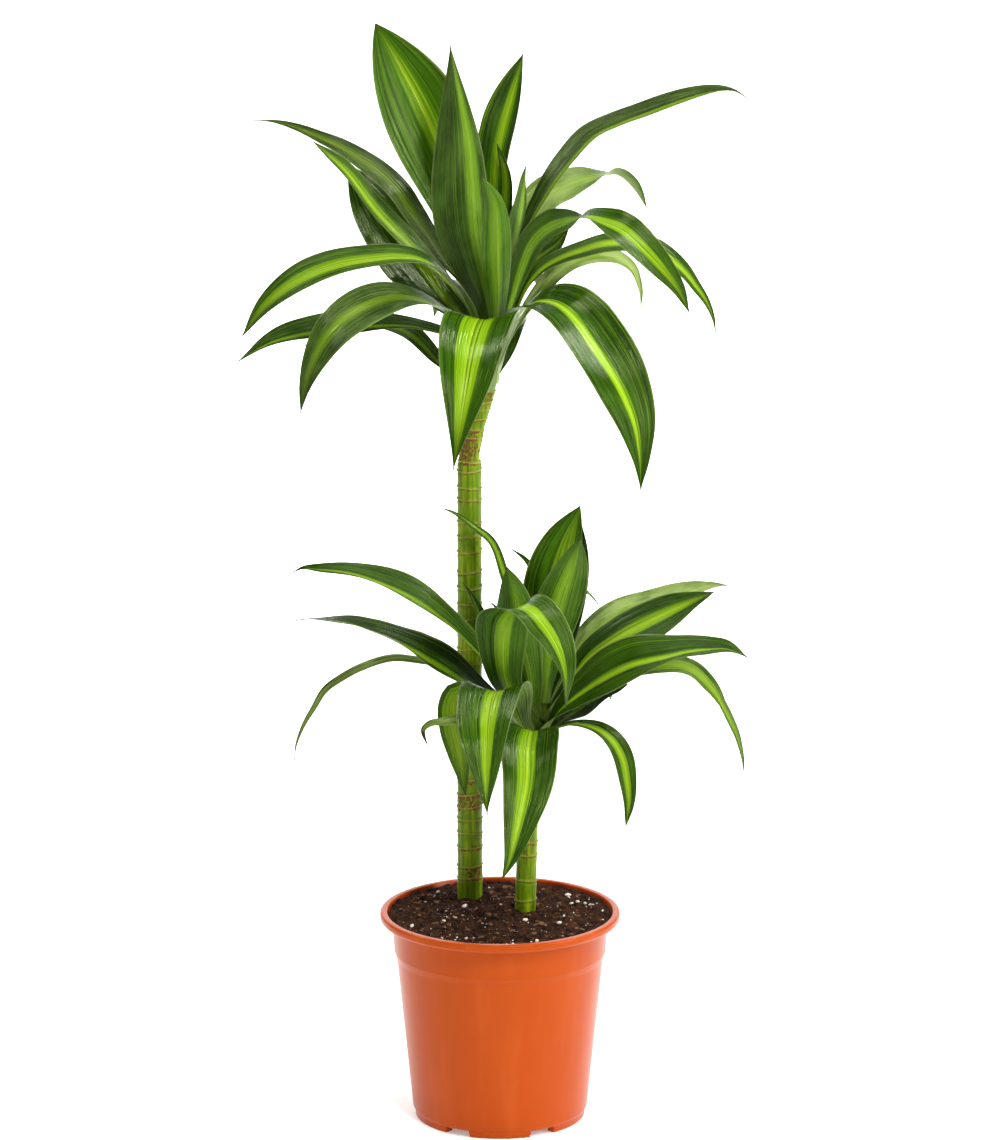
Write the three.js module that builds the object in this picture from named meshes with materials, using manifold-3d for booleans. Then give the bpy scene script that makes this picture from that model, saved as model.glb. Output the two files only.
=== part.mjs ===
// Potted corn plant: two ringed canes of different height, each with a leafy head, in soil in a round pot.
// Millimetres, +Z up. The origin is on the floor below the middle of the pot, and the front faces -Y.
import * as THREE from "three";
import { mergeVertices } from "three/addons/utils/BufferGeometryUtils.js";
import Module from "manifold-3d";

const wasm = await Module();
wasm.setup();

// Clearance kept between any two pieces that touch in the real plant.
const GAP = 0.3;

// ---------------------------------------------------------------- shared shape tools

function toSolid(geometry) {
  const bare = new THREE.BufferGeometry();
  bare.setAttribute("position", geometry.getAttribute("position"));
  bare.setIndex(geometry.getIndex());
  const merged = mergeVertices(bare, 1e-4);
  return new wasm.Manifold(
    new wasm.Mesh({
      numProp: 3,
      vertProperties: new Float32Array(merged.getAttribute("position").array),
      triVerts: new Uint32Array(merged.getIndex().array),
    }),
  );
}

function toGeometry(solid) {
  const mesh = solid.getMesh();
  const geometry = new THREE.BufferGeometry();
  geometry.setAttribute("position", new THREE.BufferAttribute(mesh.vertProperties, 3));
  geometry.setIndex(new THREE.BufferAttribute(mesh.triVerts, 1));
  geometry.computeVertexNormals();
  return geometry;
}

// Turns a closed profile of [radius, height] points, listed counterclockwise, about the Z axis.
function turned(profile, segments) {
  const points = profile.map(([radius, height]) => new THREE.Vector2(radius, height));
  points.push(points[0].clone());
  const geometry = new THREE.LatheGeometry(points, segments);
  geometry.rotateX(Math.PI / 2);
  return geometry;
}

// Joins rings of equally many points into a closed skin, capped at both ends. The four-sided faces that start
// at the ring places in otherWay are split along their other diagonal.
function skin(rings, otherWay = []) {
  const around = rings[0].length;
  const positions = rings.flat().flatMap((p) => [p.x, p.y, p.z]);
  const faces = [];
  for (let i = 0; i < rings.length - 1; i++) {
    for (let j = 0; j < around; j++) {
      const a = i * around + j;
      const b = i * around + ((j + 1) % around);
      if (otherWay.includes(j)) {
        faces.push(a, b, a + around);
        faces.push(b, b + around, a + around);
      } else {
        faces.push(a, b, b + around);
        faces.push(a, b + around, a + around);
      }
    }
  }
  const last = (rings.length - 1) * around;
  for (let j = 1; j < around - 1; j++) {
    faces.push(0, j + 1, j);
    faces.push(last, last + j, last + j + 1);
  }
  const geometry = new THREE.BufferGeometry();
  geometry.setAttribute("position", new THREE.Float32BufferAttribute(positions, 3));
  geometry.setIndex(faces);
  geometry.computeVertexNormals();
  return geometry;
}

const plant = new THREE.Group();

function add(name, geometry, material) {
  const mesh = new THREE.Mesh(geometry, material);
  mesh.name = name;
  plant.add(mesh);
}

// ---------------------------------------------------------------- pot

// A thin plastic pot with a rolled rim, a collar below it, a tapered body and six feet.
const POT_HEIGHT = 150;
const RIM_RADIUS = 85;
const RIM_INNER_RADIUS = 79.5;
const RIM_DEPTH = 6;
const COLLAR_TOP_RADIUS = 76.5;
const COLLAR_RADIUS = 75;
const COLLAR_BOTTOM = 119;
const BODY_TOP_RADIUS = 73.2;
const BODY_BOTTOM_RADIUS = 62;
const BODY_BOTTOM = 5;
const EDGE_ROUNDING = 2;
const COLLAR_STEP = 1;
const RIM_OVERHANG_ROUNDING = 1.2;
const RIM_TOP_ROUNDING = 0.8;
const WALL = 2;
const FLOOR_THICKNESS = 3;
const FEET = 6;
const FOOT_GAP_ANGLE = THREE.MathUtils.degToRad(18);
const FOOT_INNER_RADIUS = 53;
const FOOT_OUTER_RADIUS = 60.5;
const DRAIN_RADIUS = 4;
const DRAIN_CIRCLE = 34;
const DRAIN_SEGMENTS = 20;
const POT_SEGMENTS = 72;

function buildPot() {
  const floorTop = BODY_BOTTOM + FLOOR_THICKNESS;
  const shell = turned(
    [
      [0, BODY_BOTTOM],
      [FOOT_INNER_RADIUS, BODY_BOTTOM],
      [FOOT_INNER_RADIUS, 0],
      [FOOT_OUTER_RADIUS, 0],
      [FOOT_OUTER_RADIUS + COLLAR_STEP / 2, BODY_BOTTOM],
      [BODY_BOTTOM_RADIUS, BODY_BOTTOM + EDGE_ROUNDING],
      [BODY_TOP_RADIUS, COLLAR_BOTTOM - COLLAR_STEP],
      [COLLAR_RADIUS, COLLAR_BOTTOM + COLLAR_STEP],
      [COLLAR_TOP_RADIUS, POT_HEIGHT - RIM_DEPTH],
      [RIM_RADIUS - RIM_OVERHANG_ROUNDING, POT_HEIGHT - RIM_DEPTH],
      [RIM_RADIUS, POT_HEIGHT - RIM_DEPTH + RIM_OVERHANG_ROUNDING],
      [RIM_RADIUS, POT_HEIGHT - EDGE_ROUNDING],
      [RIM_RADIUS - RIM_TOP_ROUNDING, POT_HEIGHT - RIM_TOP_ROUNDING],
      [RIM_RADIUS - EDGE_ROUNDING, POT_HEIGHT],
      [RIM_INNER_RADIUS + RIM_TOP_ROUNDING, POT_HEIGHT],
      [RIM_INNER_RADIUS, POT_HEIGHT - RIM_TOP_ROUNDING],
      [COLLAR_TOP_RADIUS - WALL, POT_HEIGHT - RIM_DEPTH - COLLAR_STEP],
      [COLLAR_RADIUS - WALL, COLLAR_BOTTOM + COLLAR_STEP],
      [BODY_TOP_RADIUS - WALL, COLLAR_BOTTOM - COLLAR_STEP],
      [BODY_BOTTOM_RADIUS - WALL, floorTop],
      [0, floorTop],
    ],
    POT_SEGMENTS,
  );
  let pot = toSolid(shell);
  for (let k = 0; k < FEET; k++) {
    // Each opening between two feet is a wedge through the foot ring.
    const angle = ((k + 0.5) * 2 * Math.PI) / FEET - Math.PI / 2;
    const reach = RIM_RADIUS / Math.cos(FOOT_GAP_ANGLE / 2);
    const sides = [angle - FOOT_GAP_ANGLE / 2, angle + FOOT_GAP_ANGLE / 2];
    const wedge = new THREE.Shape();
    wedge.moveTo(0, 0);
    for (const edge of sides) {
      wedge.lineTo(reach * Math.cos(edge), reach * Math.sin(edge));
    }
    wedge.closePath();
    const cut = new THREE.ExtrudeGeometry(wedge, { depth: 2 * BODY_BOTTOM, bevelEnabled: false });
    cut.translate(0, 0, -BODY_BOTTOM);
    pot = pot.subtract(toSolid(cut));
    // Each drain hole goes straight through the floor.
    const drain = new THREE.CylinderGeometry(DRAIN_RADIUS, DRAIN_RADIUS, 4 * FLOOR_THICKNESS, DRAIN_SEGMENTS);
    const around = (k * 2 * Math.PI) / FEET;
    drain.rotateX(Math.PI / 2);
    drain.translate(DRAIN_CIRCLE * Math.cos(around), DRAIN_CIRCLE * Math.sin(around), BODY_BOTTOM);
    pot = pot.subtract(toSolid(drain));
  }
  return toGeometry(pot);
}

// ---------------------------------------------------------------- canes

// A cane's axis is a line of [x, y, z] points from its foot in the soil to the tip of its rolled heart.
const CANE_FOOT = 60;
const TALL_AXIS = [
  [-21.5, 42, CANE_FOOT],
  [-21.5, 42, 470],
  [-18, 42, 490],
  [-10, 42, 516],
  [-6, 40, 550],
  [-4, 40, 600],
  [-4, 40, 640],
];
const SHORT_AXIS = [
  [16, 10, CANE_FOOT],
  [18, 10, 150],
  [20, 11, 230],
  [24, 12, 275],
  [32, 13, 315],
  [40, 14, 355],
  [43, 14, 372],
];

// Radius of each cane by height: [height, radius] pairs, straight in between.
const TALL_RADII = [
  [CANE_FOOT, 9],
  [300, 8.8],
  [464, 8.5],
  [468, 7.2],
  [520, 6.8],
  [550, 6.2],
  [590, 4],
  [640, 1],
];
const SHORT_RADII = [
  [CANE_FOOT, 7.6],
  [230, 7.2],
  [275, 6.6],
  [315, 4.5],
  [350, 2.5],
  [372, 1],
];

// Leaf scars: the cane carries a raised ring at each one, and they grow closer upwards.
const TALL_SCARS = { from: 150, to: 462, first: 12.5, last: 9, rise: 0.55 };
const SHORT_SCARS = { from: 150, to: 243, first: 12, last: 9, rise: 0.45 };
const SHOOT_SCARS = { from: 476, to: 516, first: 9, last: 6, rise: 0.4 };
const CANE_SEGMENTS = 16;
const RING_HALF_WIDTH = 1.1;
const LEAST_STATION_STEP = 0.5;

// The value at one place in a list of [place, value] pairs, straight in between.
function between(pairs, at) {
  for (let i = 1; i < pairs.length; i++) {
    const [low, first] = pairs[i - 1];
    const [high, second] = pairs[i];
    if (at <= high) {
      return first + ((second - first) * Math.max(0, at - low)) / (high - low);
    }
  }
  return pairs[pairs.length - 1][1];
}

function axisPoint(axis, height) {
  const x = between(axis.map((p) => [p[2], p[0]]), height);
  const y = between(axis.map((p) => [p[2], p[1]]), height);
  return new THREE.Vector3(x, y, height);
}

function scarHeights({ from, to, first, last }) {
  const heights = [];
  let z = from;
  while (z <= to) {
    heights.push(z);
    z += first + ((last - first) * (z - from)) / (to - from);
  }
  return heights;
}

function buildCane(axis, radii, scarSets) {
  const stations = radii.map(([height]) => [height, 0]);
  for (const set of scarSets) {
    for (const z of scarHeights(set)) {
      stations.push([z - RING_HALF_WIDTH, 0]);
      stations.push([z, set.rise]);
      stations.push([z + RING_HALF_WIDTH, 0]);
    }
  }
  stations.sort((a, b) => a[0] - b[0]);
  const spaced = stations.filter(([z], i) => i === 0 || z - stations[i - 1][0] > LEAST_STATION_STEP);
  const rings = spaced.map(([z, rise]) => {
    const centre = axisPoint(axis, z);
    const radius = between(radii, z) + rise;
    const ring = [];
    for (let j = 0; j < CANE_SEGMENTS; j++) {
      const angle = (j * 2 * Math.PI) / CANE_SEGMENTS;
      const x = centre.x + radius * Math.cos(angle);
      const y = centre.y + radius * Math.sin(angle);
      ring.push(new THREE.Vector3(x, y, z));
    }
    return ring;
  });
  return skin(rings);
}

// ---------------------------------------------------------------- soil

// Potting soil fills the pot to just under its rim, a little higher in the middle, with a crumbled top.
const SOIL_SHOULDER_HEIGHT = 142.6;
const SOIL_EDGE_HEIGHT = 147;
const SOIL_EDGE_RADIUS = 77;
const SOIL_MOUND = 1.4;
const SOIL_CRUMB = 1.1;
const SOIL_RINGS = 7;
const SOIL_SEGMENTS = 48;
const SOIL_SEED = 7;
const SIDE_GAP = WALL + 2.5 * GAP;
const HOLE_ALLOWANCE = 0.9;
const HOLE_TOP = POT_HEIGHT + SOIL_MOUND;

// A seeded random number from 0 to 1.
function randomFrom(seed) {
  let state = seed;
  return () => {
    state = (state * 1664525 + 1013904223) % 4294967296;
    return state / 4294967296;
  };
}

function buildSoil() {
  const random = randomFrom(SOIL_SEED);
  const floor = BODY_BOTTOM + FLOOR_THICKNESS + GAP;
  const ring = (radius, height, crumb) => {
    const points = [];
    for (let j = 0; j < SOIL_SEGMENTS; j++) {
      const angle = (j * 2 * Math.PI) / SOIL_SEGMENTS;
      const z = height + crumb * (2 * random() - 1);
      points.push(new THREE.Vector3(radius * Math.cos(angle), radius * Math.sin(angle), z));
    }
    return points;
  };
  const rings = [
    ring(BODY_BOTTOM_RADIUS - SIDE_GAP, floor, 0),
    ring(BODY_TOP_RADIUS - SIDE_GAP, COLLAR_BOTTOM - 2 * COLLAR_STEP, 0),
    ring(COLLAR_RADIUS - SIDE_GAP, COLLAR_BOTTOM + 2 * COLLAR_STEP, 0),
    ring(COLLAR_TOP_RADIUS - SIDE_GAP, SOIL_SHOULDER_HEIGHT, 0),
  ];
  for (let k = SOIL_RINGS; k > 0; k--) {
    const share = k / SOIL_RINGS;
    const height = SOIL_EDGE_HEIGHT + SOIL_MOUND * (1 - share * share);
    rings.push(ring(SOIL_EDGE_RADIUS * share, height, k < SOIL_RINGS ? SOIL_CRUMB : 0));
  }
  let soil = toSolid(skin(rings));
  const canes = [
    [TALL_AXIS, TALL_RADII],
    [SHORT_AXIS, SHORT_RADII],
  ];
  for (const [axis, radii] of canes) {
    // Each cane stands in a plain hole, closed at the bottom and a little wider than the cane.
    const path = new THREE.LineCurve3(axisPoint(axis, CANE_FOOT - GAP), axisPoint(axis, HOLE_TOP));
    const radius = radii[0][1] + GAP + HOLE_ALLOWANCE;
    const circle = new THREE.Shape().absarc(0, 0, radius, 0, 2 * Math.PI);
    const hole = new THREE.ExtrudeGeometry(circle, { steps: 1, curveSegments: 12, extrudePath: path });
    soil = soil.subtract(toSolid(hole));
  }
  return toGeometry(soil);
}

// ---------------------------------------------------------------- leaves

// A head is the leafy top of one cane. Its leaf tables are written about its heart.
const UPPER_HEAD = { heart: new THREE.Vector3(-6, 40, 550), axis: TALL_AXIS, radii: TALL_RADII };
const LOWER_HEAD = { heart: new THREE.Vector3(24, 12, 275), axis: SHORT_AXIS, radii: SHORT_RADII };

// A leaf point is [across, depth, height] from the heart, written as it looks from 4 m in front of the plant
// and 1.373 m up, so depth moves the point along that line of sight.
const EYE_DISTANCE = 4000;
const EYE_HEIGHT = 1373;

// The blade: a thin channel with a raised margin on each side of the midrib, clasping the shoot at its base.
const BLADE_THICKNESS = 0.8;
const BLADE_STATIONS = 14;
const BASE_WIDTH_SHARE = 0.31;
const BASE_WIDTH_LIMIT = 11.5;
const TIP_WIDTH = 1.4;
const WIDEST_AT = 0.58;
const USUAL_TAPER = 0.95;
const BASE_FOLD = 30;
const BASE_FOLD_LENGTH = 0.35;
const USUAL_FOLD = 16;
const SEAT_CLEARANCE = 0.55;
// These faces are split so that the blade's two sides bend alike, from the midrib out to both margins.
const MIRRORED_FACES = [2, 5];

function leafPoint(head, [across, depth, height]) {
  const stretch = 1 + depth / (EYE_DISTANCE + head.heart.y);
  return new THREE.Vector3(
    (head.heart.x + across) * stretch,
    head.heart.y + depth,
    EYE_HEIGHT + (head.heart.z + height - EYE_HEIGHT) * stretch,
  );
}

// Where a leaf's midrib leaves the shoot, at an angle round it and a height above the heart: far enough out
// for the folded base to clasp the shoot without touching it.
function seatPoint(head, [angle, height], half) {
  const z = head.heart.z + height;
  const bend = THREE.MathUtils.degToRad(BASE_FOLD);
  const clear = between(head.radii, z) + SEAT_CLEARANCE;
  const out = Math.min(clear / Math.cos(bend), clear + half * Math.sin(bend));
  const turn = THREE.MathUtils.degToRad(angle);
  const outward = new THREE.Vector3(out * Math.cos(turn), out * Math.sin(turn), 0);
  return axisPoint(head.axis, z).add(outward);
}

function smooth(share) {
  const s = Math.min(1, Math.max(0, share));
  return s * s * (3 - 2 * s);
}

// Half of the blade's width at a share of its length: narrow at the base, broadest at widest, then pointed.
// The tip is slimmer the higher its taper.
function halfWidth({ width, widest = WIDEST_AT, taper = USUAL_TAPER }, share) {
  const base = Math.min(BASE_WIDTH_SHARE * width, BASE_WIDTH_LIMIT);
  const rising = base + (width - base) * smooth(share / widest);
  const s = Math.max(0, (share - widest) / (1 - widest));
  return Math.max(TIP_WIDTH, rising * (1 - s * s) ** taper) / 2;
}

// A value given at equal steps along the leaf, read in between.
function along(values, share) {
  const at = share * (values.length - 1);
  const i = Math.min(values.length - 2, Math.floor(at));
  return values[i] + (values[i + 1] - values[i]) * (at - i);
}

// A leaf: its width and taper, its seat as [angle, height] on the shoot, the way its base faces, the fold of
// its blade, its roll at equal steps along it, and the path of its midrib. Angles are in degrees.
function buildLeaf(head, leaf) {
  const { seat, face = seat[0], fold = USUAL_FOLD, roll = [0, 0], path } = leaf;
  const start = seatPoint(head, seat, halfWidth(leaf, 0));
  const points = [start, ...path.map((p) => leafPoint(head, p))];
  const curve = new THREE.CatmullRomCurve3(points, false, "centripetal");
  const outward = THREE.MathUtils.degToRad(face);
  const side = new THREE.Vector3(Math.sin(outward), -Math.cos(outward), 0);
  const rings = [];
  for (let i = 0; i < BLADE_STATIONS; i++) {
    const share = i / (BLADE_STATIONS - 1);
    const centre = curve.getPointAt(share);
    const forward = curve.getTangentAt(share);
    side.addScaledVector(forward, -side.dot(forward)).normalize();
    const right = side.clone().applyAxisAngle(forward, -THREE.MathUtils.degToRad(along(roll, share)));
    const up = right.clone().cross(forward);
    const half = halfWidth(leaf, share);
    const baseShare = 1 - smooth(share / BASE_FOLD_LENGTH);
    const bend = THREE.MathUtils.degToRad(fold + (BASE_FOLD - fold) * baseShare);
    const rise = half * Math.sin(bend);
    const reach = half * Math.cos(bend);
    const at = (across, lift) => centre.clone().addScaledVector(right, across).addScaledVector(up, lift);
    rings.push([
      at(0, 0),
      at(reach, rise),
      at(reach, rise - BLADE_THICKNESS),
      at(0, -BLADE_THICKNESS),
      at(-reach, rise - BLADE_THICKNESS),
      at(-reach, rise),
    ]);
  }
  return skin(rings, MIRRORED_FACES);
}

// The leaves of the tall cane's head: those in front first, then left, upright, right and behind.
const UPPER_LEAVES = {
  upper_leaf_front_hanging: {
    width: 53,
    seat: [266, -32],
    widest: 0.45,
    taper: 1.38,
    path: [[0, -25, 2], [-5, -60, 18], [-12, -95, 0], [-19, -122, -40], [-27, -138, -91]],
  },
  upper_leaf_right_front_large: {
    width: 50,
    seat: [316, -27],
    widest: 0.57,
    taper: 1.15,
    roll: [0, -15, -20],
    path: [
      [8, -15, 3], [15, -25, 14], [22, -33, 25], [31, -43, 30.5], [41, -52, 30.5], [50, -60, 26.5],
      [60, -67, 17], [70, -75, 3], [87.5, -89, -25], [99.5, -98, -53], [104, -103, -80],
      [105, -108, -104.5],
    ],
  },
  upper_leaf_left_hanging: {
    width: 34,
    seat: [212, -14],
    taper: 1.3,
    roll: [0, 25, 35],
    path: [
      [-16, -8, 8], [-35, -22, 25.5], [-60, -38, 32], [-80, -52, 28.5], [-98, -64, 19], [-112, -72, 6],
      [-122, -76, -10], [-130, -79, -30], [-134, -80, -50],
    ],
  },
  upper_leaf_left_long: {
    width: 24,
    seat: [182, -25],
    taper: 1.5,
    roll: [0, 20, 20],
    path: [[-20, -4, 0], [-50, -10, 13], [-85, -22, 15], [-130, -52, 10], [-158, -76, 1], [-180, -95, -14]],
  },
  upper_leaf_back_left_low: {
    width: 24,
    seat: [154, -42],
    roll: [0, 20, 20],
    path: [[-19, 8, -30], [-37, 20, -13], [-57, 32, 7], [-85, 48, 16], [-110, 58, 11], [-131, 66, -1]],
  },
  upper_leaf_left_folded_arch: {
    width: 27,
    seat: [211, -5],
    roll: [0, 12, 25, 45, 50],
    path: [
      [-12, -10, 16], [-22, -19, 37], [-45, -29, 58.5], [-62, -37, 62], [-80, -43, 61], [-110, -52, 56],
      [-135, -60, 45.5], [-158, -66, 28], [-174, -70, 6],
    ],
  },
  upper_leaf_back_left_broad: {
    width: 46,
    seat: [146, -4],
    roll: [0, 35, 40],
    path: [[-16, 14, 12], [-37, 36, 32], [-70, 54, 76], [-100, 68, 128]],
  },
  upper_leaf_left_striped: {
    width: 22,
    seat: [178, 7],
    roll: [0, 30, 30],
    path: [
      [-16, 0, 26], [-32, 2, 46], [-50, 6, 64], [-62, 8, 76], [-80, 8, 95], [-100, 6, 122],
      [-124, 2, 144],
    ],
  },
  upper_leaf_left_high_arch: {
    width: 21,
    seat: [150, 14],
    widest: 0.45,
    taper: 1.5,
    roll: [0, 25, 30],
    path: [
      [-14, 12, 34], [-32, 22, 58], [-45, 28, 77], [-56, 31, 93.5], [-65.5, 33, 108.5], [-77, 36, 120.5],
      [-91, 37, 131], [-105, 38, 139.5], [-119, 38, 146], [-133, 38, 152.5], [-149, 38, 157.5],
      [-166, 38, 158.5],
    ],
  },
  upper_leaf_back_left_upright: {
    width: 60,
    seat: [102, 20],
    face: 100,
    widest: 0.66,
    taper: 0.95,
    path: [[-11, 21, 50], [-18, 28, 78], [-36, 38, 130], [-50, 41.5, 164], [-64, 44.5, 193], [-80, 48, 226]],
  },
  upper_leaf_back_right_upright: {
    width: 25,
    seat: [80, 26],
    face: 90,
    widest: 0.7,
    taper: 1.1,
    path: [[3, 13, 50], [1, 14, 90], [0, 15, 130], [5, 16, 157], [12, 17, 179], [22, 20, 205]],
  },
  upper_leaf_centre_upright: {
    width: 43,
    seat: [262, 6],
    face: 270,
    fold: 22,
    widest: 0.45,
    taper: 1.4,
    path: [[-6, -11, 30], [-20, -12, 80], [-24, -10, 150], [-28.5, -8, 213]],
  },
  upper_leaf_inner_front: {
    width: 22,
    seat: [286, -4],
    face: 281,
    path: [[4, -17, 25], [4, -24, 60], [2, -29, 100], [-7, -33, 119]],
  },
  upper_leaf_right_short_upright: {
    width: 22,
    seat: [340, 22],
    face: 330,
    path: [[11, -4, 50], [20, -4, 90], [24, -4, 127]],
  },
  upper_leaf_thin_upright: {
    width: 12,
    seat: [50, 34],
    face: 70,
    path: [[7, 7, 55], [9, 7, 90], [10, 7, 120], [4, 7, 142]],
  },
  upper_leaf_right_pointed: {
    width: 16,
    seat: [38, 8],
    roll: [0, -40, -40],
    path: [[15, 10, 34], [30, 22, 59], [45, 29, 71], [54, 34, 83]],
  },
  upper_leaf_right_long_thin: {
    width: 22,
    seat: [22, 15],
    roll: [0, -20, -25],
    path: [
      [12.5, 7, 49.5], [23.5, 13, 82.5], [41, 23, 114.5], [54, 31, 132], [68.5, 38, 148], [86, 45, 157],
      [104.5, 52, 164], [123, 60, 171], [142, 68, 177], [157.5, 74, 180], [168, 78, 179],
      [178, 82, 173.5],
    ],
  },
  upper_leaf_right_back_arch: {
    width: 26,
    seat: [72, -2],
    roll: [0, -5, -10, -14, -18, -20, -22, -18, 5, 55, 75, 75],
    path: [
      [8, 23, 45], [22, 44, 86], [36, 54, 105], [50, 62, 112], [64, 69, 117], [78, 75, 120],
      [87, 78, 121], [96, 80, 116], [102, 81, 109], [108, 82, 97],
    ],
  },
  upper_leaf_right_twisted: {
    width: 29,
    seat: [342, 0],
    roll: [0, 25, 40, 50, 55, 52, 5, -30, -45, -50, -50, -50],
    path: [
      [12, -7, 22], [20, -8, 50], [29, -10, 72], [39, -14, 82], [50, -19, 87], [62, -24, 90.5],
      [78, -28, 87], [92, -32, 81], [106, -36, 68.5], [119, -39, 54], [130, -41, 39.5], [138, -42, 23],
    ],
  },
  upper_leaf_right_low_arch: {
    width: 21,
    seat: [8, -10],
    taper: 1.2,
    roll: [0, -25, -38, -38],
    path: [
      [14.5, 1, 12], [19, 1, 27], [26.5, 2, 43], [37, 4, 54.5], [49.5, 6, 61.5], [63.5, 9, 66.5],
      [77.5, 11, 70.5], [91, 13, 71.5], [104.5, 14, 69.5], [115.5, 15, 65.5], [125.5, 15.5, 59],
      [134.5, 16, 51], [142, 17, 41.5], [149.5, 18, 31], [154.5, 19, 19], [157, 19, 5],
    ],
  },
  upper_leaf_right_back_thin: {
    width: 16,
    seat: [36, -20],
    roll: [0, -30, -60],
    path: [
      [12, 12, 2], [28, 26, 30], [50, 44, 54], [64, 53, 61], [77, 60, 63], [88, 65, 61.5], [98, 69, 54],
      [102, 71, 44], [104, 73, 35], [104, 74, 25],
    ],
  },
  upper_leaf_rear_drooping: {
    width: 36,
    seat: [84, -31],
    path: [[5, 22, -10], [8, 44, 12], [8, 62, 16], [6, 75, 6], [2, 80, -12]],
  },
  upper_leaf_rear_left: {
    width: 30,
    seat: [112, -18],
    path: [[-4, 22, 8], [-11, 45, 36], [-21, 64, 46], [-32, 76, 40], [-40, 81, 20]],
  },
  upper_leaf_rear_right: {
    width: 34,
    seat: [76, -12],
    path: [[6, 18, 18], [15, 38, 50], [23, 58, 62], [28, 71, 58], [32, 78, 42]],
  },
};

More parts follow.
